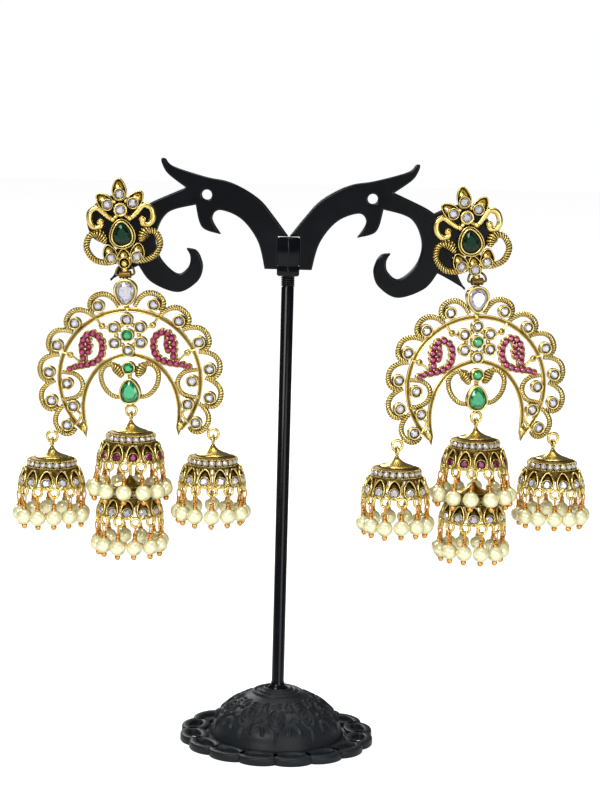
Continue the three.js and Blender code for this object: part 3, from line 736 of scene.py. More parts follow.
class RopeGrower(Grower):
    """Twisted wire along paths: a lobed section that turns as it goes."""

    def __init__(self) -> None:
        """Builds the tree."""
        sizes = {"Radius": 0.5, "Step": 0.14, "Pitch": 1.2, "Groove": 0.3, "Strands": 3.0}
        super().__init__("rope along a path", sizes)

    def build(self) -> None:
        """Sweeps a section of rounded strands, tilted by the length gone."""
        section = self.add("GeometryNodeCurvePrimitiveCircle", {"Resolution": 20, "Radius": 1.0}).outputs[0]
        place = self.add("GeometryNodeInputPosition").outputs[0]
        share = self.add("GeometryNodeSplineParameter").outputs["Factor"]
        swing = self.calc("MULTIPLY", share, self.calc("MULTIPLY", self.given.outputs["Strands"], math.pi))
        lobe = self.calc("ABSOLUTE", self.calc("SINE", swing))
        low = self.calc("SUBTRACT", 1.0, self.given.outputs["Groove"])
        size = self.calc("ADD", low, self.calc("MULTIPLY", lobe, self.given.outputs["Groove"]))
        spread = self.add("ShaderNodeVectorMath", {0: place}, operation="SCALE")
        self.tree.links.new(size, spread.inputs["Scale"])
        lobed = {"Geometry": section, "Position": spread.outputs[0]}
        section = self.add("GeometryNodeSetPosition", lobed).outputs[0]
        # painted shade: each point's depth in a groove is stored for the gold to darken
        deep = {"Geometry": section, "Name": "deep", "Value": self.calc("SUBTRACT", 1.0, lobe)}
        kind = {"data_type": "FLOAT", "domain": "POINT"}
        section = self.add("GeometryNodeStoreNamedAttribute", deep, **kind).outputs[0]
        gone = self.add("GeometryNodeSplineParameter").outputs["Length"]
        turn = self.calc("MULTIPLY", self.calc("DIVIDE", gone, self.given.outputs["Pitch"]), FULL_TURN)
        curve = self.add("GeometryNodeSetCurveTilt", {"Curve": self.curves(), "Tilt": turn}).outputs[0]
        self.sweep(curve, section)


class BeadGrower(Grower):
    """A row of little beads along paths."""

    def __init__(self) -> None:
        """Builds the tree."""
        super().__init__("beads along a path", {"Radius": 0.2, "Step": 0.4})

    def build(self) -> None:
        """Sets a small sphere at each step."""
        inputs = {"Radius": self.given.outputs["Radius"], "Subdivisions": 2}
        bead = self.add("GeometryNodeMeshIcoSphere", inputs).outputs[0]
        points = self.add("GeometryNodeCurveToPoints", {"Curve": self.curves()}, mode="EVALUATED").outputs[0]
        self.close(self.add("GeometryNodeInstanceOnPoints", {"Points": points, "Instance": bead}).outputs[0])


class RingGrower(Grower):
    """Copies of one shape in a level ring, each turned outwards, with a small sway of its own."""

    def __init__(self, name: str, smooth: bool) -> None:
        """Builds the tree for smooth shapes or for ones with flat facets."""
        self.smooth = smooth
        sizes = {
            "Count": 12, "Radius": 8.0, "Start": 0.0, "Height": 0.0, "Lift": 0.0, "Sway": 0.0, "Seed": 1,
        }
        super().__init__(name, sizes)

    def chance(self, reach: bpy.types.NodeSocket, offset: int) -> bpy.types.NodeSocket:
        """Returns a number for each copy, from minus reach to reach."""
        seed = self.calc("ADD", self.given.outputs["Seed"], float(offset))
        node = self.add("FunctionNodeRandomValue", {"Seed": seed}, data_type="FLOAT")
        node.inputs[2].default_value, node.inputs[3].default_value = -1.0, 1.0
        return self.calc("MULTIPLY", node.outputs[1], reach)

    def build(self) -> None:
        """Sets the given shape at each of the ring's places."""
        given = self.given.outputs
        index = self.add("GeometryNodeInputIndex").outputs[0]
        step = self.calc("DIVIDE", FULL_TURN, given["Count"])
        turn = self.calc("ADD", self.calc("MULTIPLY", index, step), given["Start"])
        across = self.calc("MULTIPLY", given["Radius"], self.calc("COSINE", turn))
        along = self.calc("MULTIPLY", given["Radius"], self.calc("SINE", turn))
        up = self.calc("ADD", given["Height"], self.chance(given["Lift"], 0))
        place = self.add("ShaderNodeCombineXYZ", {0: across, 1: along, 2: up}).outputs[0]
        points = self.add("GeometryNodePoints", {"Count": given["Count"], "Position": place}).outputs[0]
        angles = {0: self.chance(given["Sway"], 11), 1: self.chance(given["Sway"], 23), 2: turn}
        euler = self.add("ShaderNodeCombineXYZ", angles).outputs[0]
        turned = self.add("FunctionNodeEulerToRotation", {0: euler})
        inputs = {"Points": points, "Instance": given["Geometry"], "Rotation": turned.outputs[0]}
        self.close(self.add("GeometryNodeInstanceOnPoints", inputs).outputs[0], self.smooth)


@dataclass
class Workshop:
    """The finishes and the trees that every maker shares."""

    finishes: Finishes = field(default_factory=Finishes)
    wire: WireGrower = field(default_factory=WireGrower)
    rope: RopeGrower = field(default_factory=RopeGrower)
    beads: BeadGrower = field(default_factory=BeadGrower)
    ring: RingGrower = field(default_factory=lambda: RingGrower("ring of copies", True))
    stones: RingGrower = field(default_factory=lambda: RingGrower("ring of cut stones", False))


def flattened(mesh: bpy.types.Mesh, by: float) -> bpy.types.Mesh:
    """Returns the mesh made shallower in its depth."""
    mesh.transform(Matrix.Scale(by, 4, (0, 1, 0)))
    return mesh


def joined(*meshes: bpy.types.Mesh) -> bpy.types.Mesh:
    """Returns one mesh that holds all the given ones, which share one finish."""
    work = bmesh.new()
    for mesh in meshes:
        work.from_mesh(mesh)
    whole = bpy.data.meshes.new("joined")
    work.to_mesh(whole)
    work.free()
    whole.materials.append(meshes[0].materials[0])
    return whole


def gold_wire(
    paths: Sequence[np.ndarray],
    radius: float,
    step: float,
    sides: int = 12,
    closed: bool = False,
    thick: Callable[[float], float] | None = None,
) -> bpy.types.Mesh:
    """Makes plain gold wire along paths.

    Args:
        paths: the middle lines.
        radius: the wire's radius.
        step: how long a facet is along the wire.
        sides: how many facets the wire has round it.
        closed: whether each path runs back to its start.
        thick: how thick the wire is at each share of its length.

    Returns:
        The wires as one mesh.
    """
    seedling = path_mesh(paths, closed, thick)
    return SHOP.wire.grow(seedling, SHOP.finishes.gold, Radius=radius, Step=step, Sides=sides)


def gold_rope(
    paths: Sequence[np.ndarray],
    thick: Callable[[float], float],
    radius: float,
    pitch: float = 1.9,
    groove: float = 0.3,
    step: float = 0.14,
) -> bpy.types.Mesh:
    """Makes roped gold wire along paths.

    Args:
        paths: the middle lines.
        thick: how thick the rope is at each share of its length.
        radius: the rope's radius.
        pitch: the length in which the strands go round once.
        groove: how deep the grooves are, as a share of the radius.
        step: how long a facet is along the rope.

    Returns:
        The ropes as one mesh.
    """
    sizes = {"Radius": radius, "Step": step, "Pitch": pitch, "Groove": groove}
    return SHOP.rope.grow(path_mesh(paths, thick=thick), SHOP.finishes.gold, **sizes)


@dataclass
class Bench:
    """Where one sub-assembly is put together: its frame, its body and the start of its names."""

    place: Matrix
    body: str
    prefix: str = ""

    def piece(
        self,
        name: str,
        mesh: bpy.types.Mesh | Draft,
        slot: Slot,
        finish: bpy.types.Material | None = None,
        stands_for: Sequence[str] = (),
    ) -> bpy.types.Object:
        """Turns a mesh into a finished piece of the scene.

        Args:
            name: the piece's name, without the prefix.
            mesh: its mesh or draft, in this bench's millimetres.
            slot: the record's material slot.
            finish: its material, or None where the mesh has one.
            stands_for: the CAD nodes that it stands for, without the prefix.

        Returns:
            The piece.
        """
        if isinstance(mesh, Draft):
            mesh = mesh.mesh(name)
        if finish is not None:
            mesh.materials.clear()
            mesh.materials.append(finish)
        mesh.transform(Matrix.Scale(MM, 4) @ self.place)
        mesh.update()
        piece = shown(self.prefix + name, mesh)
        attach(piece, self.body)
        if stands_for:
            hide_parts(*(self.prefix + node for node in stands_for))
        log.info("%s: %d faces", piece.name, len(mesh.polygons))
        return piece


# The stand

ARM_STROKES = (
    (
        (0.3, 131.8), (4.0, 136.6), (7.3, 140.4), (11.5, 143.2), (16.0, 145.1), (21.5, 146.1), (29.6, 148.5),
        (31.7, 150.4), (32.7, 150.5),
    ),
    ((32.7, 150.5), (32.5, 149.2), (30.9, 146.6), (26.4, 143.3)),
    ((26.4, 143.3), (34.0, 139.9), (36.7, 138.3)),
    (
        (36.7, 138.3), (41.0, 140.2), (45.2, 140.8), (49.2, 138.6), (51.3, 134.6), (49.6, 129.9),
        (45.0, 128.0), (41.6, 127.4),
    ),
    ((41.6, 127.4), (43.4, 122.4), (45.3, 119.2)),
    ((45.3, 119.2), (41.5, 121.4), (38.0, 123.2)),
    (
        (38.0, 123.2), (34.7, 119.1), (28.0, 116.7), (23.2, 119.3), (21.7, 122.6), (22.2, 125.5),
        (23.6, 127.5), (25.9, 127.9),
    ),
    (
        (25.9, 127.9), (24.9, 125.8), (25.4, 123.2), (28.3, 121.4), (32.6, 125.4), (33.7, 131.0),
        (30.8, 136.8), (23.8, 139.0),
    ),
    ((23.8, 139.0), (22.1, 133.4), (17.3, 131.7)),
    ((17.3, 131.7), (19.5, 135.5), (17.7, 137.8), (12.2, 135.7), (7.9, 130.2), (6.0, 123.2)),
)


def near(value: np.ndarray, width: float) -> np.ndarray:
    """Returns 1 where the value is close to 0 and 0 beyond the width, with soft sides."""
    return np.clip(1.6 - 1.6 * np.abs(value) / width, 0.0, 1.0)


@dataclass
class DisplayStand:
    """The plain black stand: a domed foot with a scalloped rim, a pole, a hub and two scroll arms."""

    rim_radius: float = 25.4
    rim_thickness: float = 1.6
    scallops: int = 16
    repeats: int = 10
    dome: tuple = (
        (17.4, 1.5), (16.9, 3.0), (15.9, 5.6), (13.4, 8.4), (10.0, 10.6), (6.4, 12.3), (3.4, 13.3),
        (1.6, 13.6),
    )
    dome_sides: int = 400
    dome_rows: int = 80
    relief: float = 0.5
    pole_radius: float = 1.6
    hub_bottom: float = 121.5
    hub_top: float = 131.3
    hub_radius: float = 3.3
    arm_half: float = 1.7
    arm_round: float = 0.42
    eye: tuple = (21.0, 141.6)
    eye_radius: float = 1.3
    bench: Bench = field(default_factory=lambda: Bench(Matrix.Identity(4), "stand"))

    def relief_at(self, turn: np.ndarray, radius: np.ndarray) -> np.ndarray:
        """Returns how far the ornament stands proud.

        Args:
            turn: angle round the dome, where 0 is the front.
            radius: distance from the pole.

        Returns:
            A height from 0 to 1 for each place.
        """
        part = FULL_TURN / self.repeats
        local = (np.mod(turn / part + 0.5, 1.0) - 0.5) * part
        x = local * radius
        y = 12.9 - radius
        high = np.zeros_like(x)
        for ring in (3.4, 4.7, 6.0):
            high = np.maximum(high, near(radius - ring, 0.42))
        bar = near(x, 1.35) * np.clip(near(y - 4.1, 0.28) + near(y - 3.2, 0.28), 0, 1)
        high = np.maximum(high, bar)
        oval = np.hypot(x, y / 1.2)
        high = np.maximum(high, near(oval - 1.9, 0.34))
        high = np.maximum(high, 0.8 * near(oval - 1.05, 0.28))
        high = np.maximum(high, near(oval, 0.5))
        high = np.maximum(high, 0.9 * near(x, 0.42) * near(y + 3.2, 0.8))
        wing = np.hypot(np.abs(x) - 2.9, y - 0.6)
        high = np.maximum(high, 0.9 * near(wing - 1.35, 0.34) * (np.abs(x) > 2.2) * (np.abs(x) < 4.2))
        half = (np.mod(turn / part, 1.0) - 0.5) * part * radius
        moon = np.hypot(half, y + 3.2)
        high = np.maximum(high, near(moon - 1.5, 0.45) * (y > -3.2))
        leaf = np.hypot(half / 0.8, (y - 3.2) / 1.3)
        return np.maximum(high, 0.8 * near(leaf - 0.9, 0.3))

    def foot(self) -> None:
        """Makes the dome with its relief, on its flat underside."""
        route = evened(smooth_path(self.dome, 13), count=self.dome_rows)
        slope = np.gradient(route, axis=0)
        slope /= np.linalg.norm(slope, axis=1, keepdims=True)
        turn = turns(self.dome_sides)
        rings = level_rings([(PIN, 0.0), (self.dome[0][0], 0.0)], self.dome_sides)
        for (radius, height), (dr, dz) in zip(route, slope):
            out = self.relief * self.relief_at(turn + math.pi / 2, np.full(self.dome_sides, radius))
            r, z = radius + out * dz, height - out * dr
            rings.append(np.column_stack([r * np.cos(turn), r * np.sin(turn), z]))
        rings += level_rings([(PIN, self.dome[-1][1])], self.dome_sides)
        dome = Draft()
        dome.rings(rings)
        self.bench.piece("foot_dome", dome, Slot.PLASTIC, SHOP.finishes.foot, ("stand_base",))

    def rim(self) -> None:
        """Makes the scalloped rim: one rounded loop grown round the foot, and the plate they meet."""
        middle = circle_outline(1.0, 48) * (2.5, 4.2)
        section = [
            (-0.8, 0.0), (1.0, 0.0), (1.15, 0.2), (1.15, 1.6), (1.0, 1.9), (0.7, 2.05), (-0.4, 2.05),
            (-0.75, 1.9), (-0.9, 1.6), (-0.9, 0.2),
        ]
        loop = Draft()
        hoops = [np.column_stack([widened(middle, out), np.full(48, up)]) for out, up in section]
        loop.rings(hoops, around=True)
        start = math.pi / self.scallops - math.pi / 2
        sizes = {"Count": self.scallops, "Radius": self.rim_radius - 3.65, "Start": start}
        loops = SHOP.ring.grow(loop.mesh("rim loop"), SHOP.finishes.foot, **sizes)
        self.bench.piece("rim_loops", loops, Slot.PLASTIC)
        turn, plate_radius = turns(192), 19.9
        wave = (1 + 0.5 / plate_radius * np.cos(self.scallops * (turn - start)))[:, None]
        plate = Draft()
        edge = [(16.8, 0.05), (19.6, 0.05), (20.0, 0.6), (19.6, 1.2), (17.0, 1.55)]
        plate.rings([ring * np.hstack([wave, wave, wave**0]) for ring in level_rings(edge, 192)], around=True)
        self.bench.piece("rim_plate", plate, Slot.PLASTIC, SHOP.finishes.foot)

    def pole(self) -> None:
        """Makes the upright with its collars and the thread under the hub."""
        r, top = self.pole_radius, self.hub_bottom
        profile = [
            (0, 13.2), (2.6, 13.2), (2.6, 13.7), (2.0, 14.2), (r + 0.25, 14.6), (r, 15.4), (r, top - 3.0),
            (r - 0.2, top - 2.7), (r - 0.2, top - 0.1), (0, top - 0.1),
        ]
        shaft = Draft()
        shaft.lathe(profile, 48)
        self.bench.piece("pole_shaft", shaft, Slot.PLASTIC, SHOP.finishes.arm, ("stand_pole",))
        turn = np.linspace(0, 5 * FULL_TURN, 160)
        rise = top - 2.6 + 2.4 * turn / turn[-1]
        thread = np.column_stack([(r - 0.05) * np.cos(turn), (r - 0.05) * np.sin(turn), rise])
        wound = SHOP.wire.grow(path_mesh([thread]), SHOP.finishes.arm, Radius=0.22, Step=0.3, Sides=8)
        self.bench.piece("pole_thread", wound, Slot.PLASTIC)

    def hub(self) -> None:
        """Makes the six-sided socket with rounded corners and a groove."""
        corner = circle_outline(1.0, 6)
        rounded = []
        for k, c in enumerate(corner):
            rounded += [0.94 * c + 0.06 * corner[k - 1], c, 0.94 * c + 0.06 * corner[(k + 1) % 6]]
        outline = np.array(rounded)[:, ::-1]
        low, high, r = self.hub_bottom, self.hub_top, self.hub_radius
        heights = [
            (r - 0.5, low), (r, low + 0.4), (r, low + 2.2), (r - 0.25, low + 2.4), (r - 0.25, low + 2.8),
            (r, low + 3.0), (r, high - 0.4), (r - 0.5, high),
        ]
        hub = Draft()
        hub.rings([np.column_stack([outline * radius, np.full(len(outline), z)]) for radius, z in heights])
        self.bench.piece("hub_socket", hub, Slot.PLASTIC, SHOP.finishes.arm, ("stand_hub",))

    def arm(self, side: str, sign: int) -> None:
        """Makes one flat scroll arm with softly rounded edges.

        Args:
            side: left or right.
            sign: -1 for left and 1 for right.
        """
        corners = [smooth_path(stroke, 8)[:-1] for stroke in ARM_STROKES]
        inner = self.hub_radius - 0.6
        low, high = ARM_STROKES[-1][-1][1], self.hub_top + 0.3
        tail = np.array([(6.0, low), (inner, low), (inner, high), (0.2, high)])
        outline = np.concatenate([*corners, tail])
        eye = np.array(self.eye) + circle_outline(self.eye_radius, 32)
        curve = bpy.data.curves.new("arm", "CURVE")
        curve.dimensions, curve.fill_mode = "2D", "BOTH"
        curve.extrude, curve.bevel_depth = self.arm_half - self.arm_round, self.arm_round
        curve.bevel_resolution = 3
        curve.offset = -self.arm_round
        for loop in (outline, eye):
            spline = curve.splines.new("POLY")
            spline.points.add(len(loop) - 1)
            spline.use_cyclic_u = True
            spline.points.foreach_set("co", [v for x, z in loop for v in (sign * x, z, 0.0, 1.0)])
        mesh = settled(shown("carrier", curve))
        mesh.transform(Matrix.Rotation(math.pi / 2, 4, "X"))
        work = bmesh.new()
        work.from_mesh(mesh)
        bmesh.ops.remove_doubles(work, verts=work.verts, dist=2e-3)
        bmesh.ops.recalc_face_normals(work, faces=work.faces)
        for face in work.faces:
            face.smooth = abs(face.normal.y) < 0.999
        work.to_mesh(mesh)
        work.free()
        self.bench.piece(f"arm_{side}", mesh, Slot.PLASTIC, SHOP.finishes.arm, (f"stand_arm_{side}",))

    def build(self) -> None:
        """Makes the whole stand."""
        self.foot()
        self.rim()
        self.pole()
        self.hub()
        self.arm("left", -1)
        self.arm("right", 1)


# One earring


def mirrored(points: Sequence[Point], sign: int) -> list[tuple[float, float]]:
    """Turns (out, drop) places into (across, up) places on one side."""
    return [(sign * out, -drop) for out, drop in points]


def swell(start: float, end: float, tail: float = 0.35) -> Callable[[float], float]:
    """Returns how thick a wire is along its length: 1 in its run, more or less at its two ends."""

    def size(share: float) -> float:
        """Returns the thickness at one share of the length."""
        first = max(0.0, 1 - share / tail)
        last = max(0.0, 1 - (1 - share) / tail)
        return 1 + (start - 1) * first**1.5 + (end - 1) * last**1.5

    return size


def leaf(share: float) -> float:
    """Returns the thickness of a ribbed leaf at one share of its length."""
    return 0.7 + 1.15 * math.sin(math.pi * min(1.0, 1.04 * share)) ** 0.8


@dataclass
class Stud:
    """The ear piece: a green pear between petals, scrolls and roped scrolls, with post and clutch."""

    bench: Bench
    back: float = 2.0
    low_stone: bool = True
    seed: int = 1
    plain_scroll: tuple = (
        (0.9, 4.6), (2.4, 3.9), (4.2, 5.4), (5.9, 6.9), (7.7, 6.0), (8.0, 3.6), (6.9, 2.0), (5.4, 2.2),
        (5.2, 3.4),
    )
    roped_scroll: tuple = (
        (1.6, -6.6), (4.6, -7.0), (7.6, -6.0), (9.3, -3.2), (8.6, -0.4), (7.0, 0.5), (5.8, 0.1)
    )
    ribbed_leaf: tuple = ((7.3, 0.5), (6.1, 0.3), (5.1, -0.7), (4.5, -2.2))
    petals: tuple = (
        (0.0, 10.6, 0.0, 5.2), (-3.6, 8.0, 42.0, 4.6), (3.6, 8.0, -42.0, 4.6), (-3.4, -5.4, 14.0, 4.3),
        (3.4, -5.4, -14.0, 4.3), (0.0, -6.8, 0.0, 4.5),
    )
    balls: tuple = (
        (5.3, 3.3, 0.8, 1.0, 14), (2.1, 3.8, 0.8, 0.85, 12), (1.5, 8.1, 0.7, 0.7, 12),
        (1.5, -6.4, 0.6, 0.7, 12),
    )

    def petal(self, gold: Draft, dark: Draft, stones: Draft, index: int) -> None:
        """Adds one pointed petal with its stone.

        Args:
            gold: draft of the bright metal.
            dark: draft of the recessed metal, in painted shade.
            stones: draft of the white stones.
            index: which petal it is.
        """
        x, z, lean, height = self.petals[index]
        place, back = placed((x, 0, z), roll=math.radians(-lean)), self.back
        outline = pear_outline(3.3, height, 1.0, 32) + (0.0, 0.55)
        gold.collar(outline, 0.32, back, back + 1.35, place)
        gold.slab(outline, back + 0.1, back + 0.8, place)
        seat = circle_outline(1.22, 16) + (0.0, -0.6)
        gold.collar(seat, 0.28, back + 0.5, back + 1.7, place)
        # painted shade: a dark floor that shows round the seat stone
        dark.slab(seat, back + 0.3, back + 1.1, place)
        if index == len(self.petals) - 1 and not self.low_stone:
            gold.ball((x, FRONT * (back + 1.0), z - 0.7), 0.95, 14)
        else:
            girdle = circle_outline(1.12, 16) + (0.0, -0.6)
            stones.stone(girdle, back + 1.2, 0.5, Cut.BRILLIANT, self.seed + index, place)

    def settings(self) -> None:
        """Makes the petals, the bezels, the stones and the little balls between them."""
        gold, dark, stones, green, back = Draft(), Draft(), Draft(), Draft(), self.back
        for index in range(len(self.petals)):
            self.petal(gold, dark, stones, index)
        gold.collar(circle_outline(1.15, 20) + (0.0, 6.1), 0.6, back, back + 2.1)
        stones.stone(circle_outline(1.15, 16) + (0.0, 6.1), back + 1.7, 0.5, Cut.BRILLIANT, self.seed + 20)
        pear = pear_outline(4.9, 5.7, 1.0, 40)
        gold.collar(pear, 0.5, back, back + 2.35)
        gold.collar(widened(pear, 0.62), 0.42, back, back + 1.75)
        # painted shade: a dark floor that shows round the green pear
        dark.slab(widened(pear, 0.3), back + 0.1, back + 1.2)
        green.stone(pear_outline(4.8, 5.6, 1.0, 24), back + 1.9, 0.75, Cut.BRILLIANT, self.seed + 30)
        for sign in (-1, 1):
            for out, up, depth, radius, sides in self.balls:
                gold.ball((sign * out, FRONT * (back + depth), up), radius, sides)
        gold.ball((0, FRONT * (back + 0.7), -9.2), 1.0, 14)
        self.bench.piece("stud_settings", gold, Slot.GOLD, SHOP.finishes.gold, ("stud",))
        self.bench.piece("stud_painted_shade", dark, Slot.GOLD, SHOP.finishes.shade)
        self.bench.piece("stud_white_stones", stones, Slot.CRYSTAL, SHOP.finishes.crystal)
        self.bench.piece("stud_green_pear", green, Slot.EMERALD, SHOP.finishes.dusk, ("stud_emerald",))

    def scrolls(self) -> None:
        """Makes the plain scrolls, the roped ones and the ribbed leaves."""
        depth = FRONT * (self.back + 0.7)
        plain = both_sides(self.plain_scroll, 10, depth)
        scrolls = gold_wire(plain, 0.78, 0.2, 14, thick=swell(0.75, 1.05))
        self.bench.piece("stud_plain_scrolls", scrolls, Slot.GOLD)
        ropes = gold_rope(both_sides(self.roped_scroll, 10, depth), swell(0.9, 0.9), 0.9, 2.0, 0.3, 0.12)
        self.bench.piece("stud_roped_scrolls", ropes, Slot.GOLD)
        leaves = gold_rope(both_sides(self.ribbed_leaf, 8, depth - 0.1), leaf, 0.86, 2.0, 0.32, 0.12)
        self.bench.piece("stud_ribbed_leaves", leaves, Slot.GOLD)

    def fastening(self) -> None:
        """Makes the back plate, the post and the push-back clutch."""
        plate, back, backwards = Draft(), self.back, Matrix.Rotation(-math.pi / 2, 4, "X")
        plate.slab(pear_outline(6.6, 8.2, 1.0, 40), back, back + 0.5)
        for z, wide, high in ((4.6, 3.4, 9.6), (-5.4, 4.4, 5.6)):
            bar = circle_outline(1.0, 24) * (wide / 2, high / 2) + (0, z)
            plate.slab(bar, back + 0.02, back + 0.45)
        plate.lathe([(0, -2.1), (0.45, -2.1), (0.45, 5.6), (0.36, 6.2), (0, 6.4)], 20, backwards)
        self.bench.piece("stud_back_and_post", plate, Slot.GOLD, SHOP.finishes.gold)
        section = [
            (0.75, 2.0), (2.1, 2.0), (2.2, 2.15), (2.2, 2.6), (2.05, 2.8), (1.4, 3.0), (1.2, 3.5), (1.3, 4.6),
            (1.15, 5.1), (0.75, 5.2),
        ]
        nut = Draft()
        nut.hoop(section, 32, backwards)
        unturned = Bench(Matrix.Translation(self.bench.place.translation), self.bench.body, self.bench.prefix)
        unturned.piece("clutch_nut", nut, Slot.GOLD, SHOP.finishes.gold, ("clutch",))

    def build(self) -> None:
        """Makes the ear piece."""
        self.settings()
        self.scrolls()
        self.fastening()


@dataclass
class Crescent:
    """The chand: two rails, roped loops with stones, a flower, two birds and the middle drop."""

    bench: Bench
    seed: int = 40
    half: float = 0.5
    rail_middle: float = 26.8
    rail_across: float = 18.3
    rail_up: float = 17.8
    sweep: float = 136.5
    loop_stones: tuple = ((7.2, 7.8), (13.5, 12.1), (18.4, 17.6), (20.8, 24.5), (20.5, 31.8), (16.7, 38.2))
    loop: tuple = (
        (-4.7, -2.2), (-4.3, -0.2), (-3.4, 1.5), (-1.9, 2.5), (0.0, 2.6), (1.5, 1.9), (2.15, 0.5), (1.7, -1.0)
    )
    inner_rail: tuple = ((0, 20.4), (6.4, 22.4), (10.6, 27.1), (12.4, 33.0), (12.1, 39.8))
    short_loop: tuple = (
        (17.6, 24.6), (14.6, 25.0), (12.7, 26.6), (12.4, 28.8), (13.6, 30.7), (15.8, 31.5), (17.8, 31.6)
    )
    scroll_stones: tuple = ((16.2, 27.5), (14.9, 33.4))
    heart: tuple = ((1.8, 31.4), (4.6, 30.9), (6.8, 28.6), (7.5, 25.6), (6.4, 23.4), (4.6, 22.8), (3.5, 23.8))
    heart_leaf: tuple = ((4.4, 23.0), (3.4, 23.7), (2.6, 24.9), (2.0, 26.3))
    bird: tuple = (
        (11.7, 21.1), (11.9, 19.1), (11.8, 17.2), (10.7, 15.3), (8.8, 14.8), (7.1, 16.1), (6.6, 18.1),
        (6.9, 20.1), (8.0, 21.7), (9.9, 22.5), (11.9, 22.9), (13.8, 23.2), (15.4, 23.8),
    )
    bird_head: tuple = ((10.2, 16.6), (10.0, 18.1), (10.35, 19.5))
    ruby_pitch: float = 1.62
    cups: tuple = ((6.6, 13.0), (15.2, 20.2))
    cup_arms: tuple = (((4.6, 13.7), (6.6, 13.0), (8.1, 10.9)), ((17.3, 19.5), (15.2, 20.2), (12.6, 22.2)))
    tip_arms: tuple = (((14.4, 34.4), (13.2, 36.0), (14.6, 38.2)), ((15.6, 38.9), (18.3, 39.4), (20.2, 40.4)))
    flower_drop: float = 15.4
    flower_reach: float = 3.95
    flower_balls: tuple = ((2.9, 0.0, 0.35, 0.62, 12), (2.35, 0.52, 0.3, 0.4, 10))
    horn: tuple = ((12.5, 36.6), (13.6, 38.4), (12.0, 41.5), (11.6, 39.2))
    end_ring: tuple = (21.0, 41.2)
    pendant_ring: tuple = (0.0, 34.8)
    ring_radius: float = 1.35

    def rail_paths(self) -> list[np.ndarray]:
        """Returns the middle lines of the outer and the inner rail."""
        turn = np.radians(np.linspace(-self.sweep, self.sweep, 120))
        rise = self.rail_up * np.cos(turn) - self.rail_middle
        outer = np.column_stack([self.rail_across * np.sin(turn), rise])
        right = mirrored(self.inner_rail, 1)
        inner = smooth_path([(-x, z) for x, z in right[:0:-1]] + right, 12)
        return [outer, inner]

    def rails(self) -> None:
        """Makes each rail as a flat bar with a bright bead along both edges and a line of painted shade
        between.
        """
        edges, bars = [], Draft()
        for line in self.rail_paths():
            run = np.gradient(line, axis=0)
            run /= np.linalg.norm(run, axis=1, keepdims=True)
            side = np.column_stack([-run[:, 1], run[:, 0]])
            edges += [upright(line + s * side, FRONT * 0.12) for s in (-0.44, 0.44)]
            section = [(-0.5, self.half), (0.5, self.half), (0.5, -0.22), (-0.5, -0.22)]
            bars.rings([
                np.array([(point[0] + a * out[0], b, point[1] + a * out[1]) for a, b in section])
                for point, out in zip(line, side)
            ])
        # painted shade: the bar between the beads is the dark shade copy of the gold
        self.bench.piece("rail_bars", bars, Slot.GOLD, SHOP.finishes.shade, ("crescent",))
        self.bench.piece("rail_edges", gold_wire(edges, 0.2, 0.4, 8), Slot.GOLD)

    def loop_path(self, sign: int, stone: Point) -> np.ndarray:
        """Returns the middle line of the roped loop round one stone."""
        out, drop = stone
        rise = self.rail_middle - drop
        reach = math.hypot(out, rise)
        nx, nz = out / reach, rise / reach
        line = smooth_path(self.loop, 8)
        across = sign * (out + line[:, 0] * nz + line[:, 1] * nx)
        up = -drop - line[:, 0] * nx + line[:, 1] * nz
        return upright(np.column_stack([across, up]))

    def ropes(self) -> None:
        """Makes every roped loop and the ribbed leaves of the middle drop."""
        loops = [self.loop_path(sign, stone) for sign in (-1, 1) for stone in self.loop_stones]
        short = both_sides(mirrored(self.short_loop, 1), 8)
        hearts = both_sides(mirrored(self.heart, 1), 8)
        leaves = both_sides(mirrored(self.heart_leaf, 1), 8, -0.1)
        for name, rope, flat in (
            ("roped_loops", gold_rope(loops, swell(0.75, 1.15), 0.8), 0.75),
            ("roped_short_loops", gold_rope(short, swell(0.8, 0.8), 0.74), 0.8),
            ("roped_hearts", gold_rope(hearts, swell(0.8, 1.1, 0.3), 0.76, groove=0.34), 0.8),
            ("ribbed_leaves", gold_rope(leaves, leaf, 0.84, 2.0, 0.34), 0.8),
        ):
            self.bench.piece(name, flattened(rope, flat), Slot.GOLD)

    def round_flower(self, radius: float, turn: float) -> tuple[float, float]:
        """Returns a place at that distance and angle from the flower's middle."""
        return radius * math.sin(turn), radius * math.cos(turn) - self.flower_drop

    def settings(self) -> None:
        """Makes the bezels with their white stones, the fillers between them and the little cups."""
        gold, dark, stones = Draft(), Draft(), Draft()
        upright_turn = Matrix.Rotation(math.pi / 2, 4, "X")
        sixths = [FULL_TURN * k / 6 for k in range(6)]
        spots = [spot for sign in (-1, 1) for spot in mirrored(self.loop_stones + self.scroll_stones, sign)]
        spots += [self.round_flower(self.flower_reach, turn) for turn in sixths]
        for k, (x, z) in enumerate(spots):
            place = Matrix.Translation((x, 0, z))
            gold.collar(circle_outline(1.2, 20), 0.46, -self.half, 1.25, place)
            # painted shade: a dark floor behind each stone, seen round its girdle
            dark.lathe([(0, 0.8), (1.24, 0.8), (1.24, -0.4), (0, -0.4)], 16, place @ upright_turn)
            turned = place @ Matrix.Rotation(0.7 * k, 4, "Y")
            stones.stone(circle_outline(1.12, 16), 0.75, 0.5, Cut.BRILLIANT, self.seed + k, turned)
        for turn in sixths:
            between = turn + FULL_TURN / 12
            for reach, ahead, depth, radius, sides in self.flower_balls:
                x, z = self.round_flower(reach, between - ahead)
                gold.ball((x, FRONT * depth, z), radius, sides)
        for x, z in mirrored(self.cups, -1) + mirrored(self.cups, 1):
            gold.ball((x, -0.1, z), 0.92, 14)
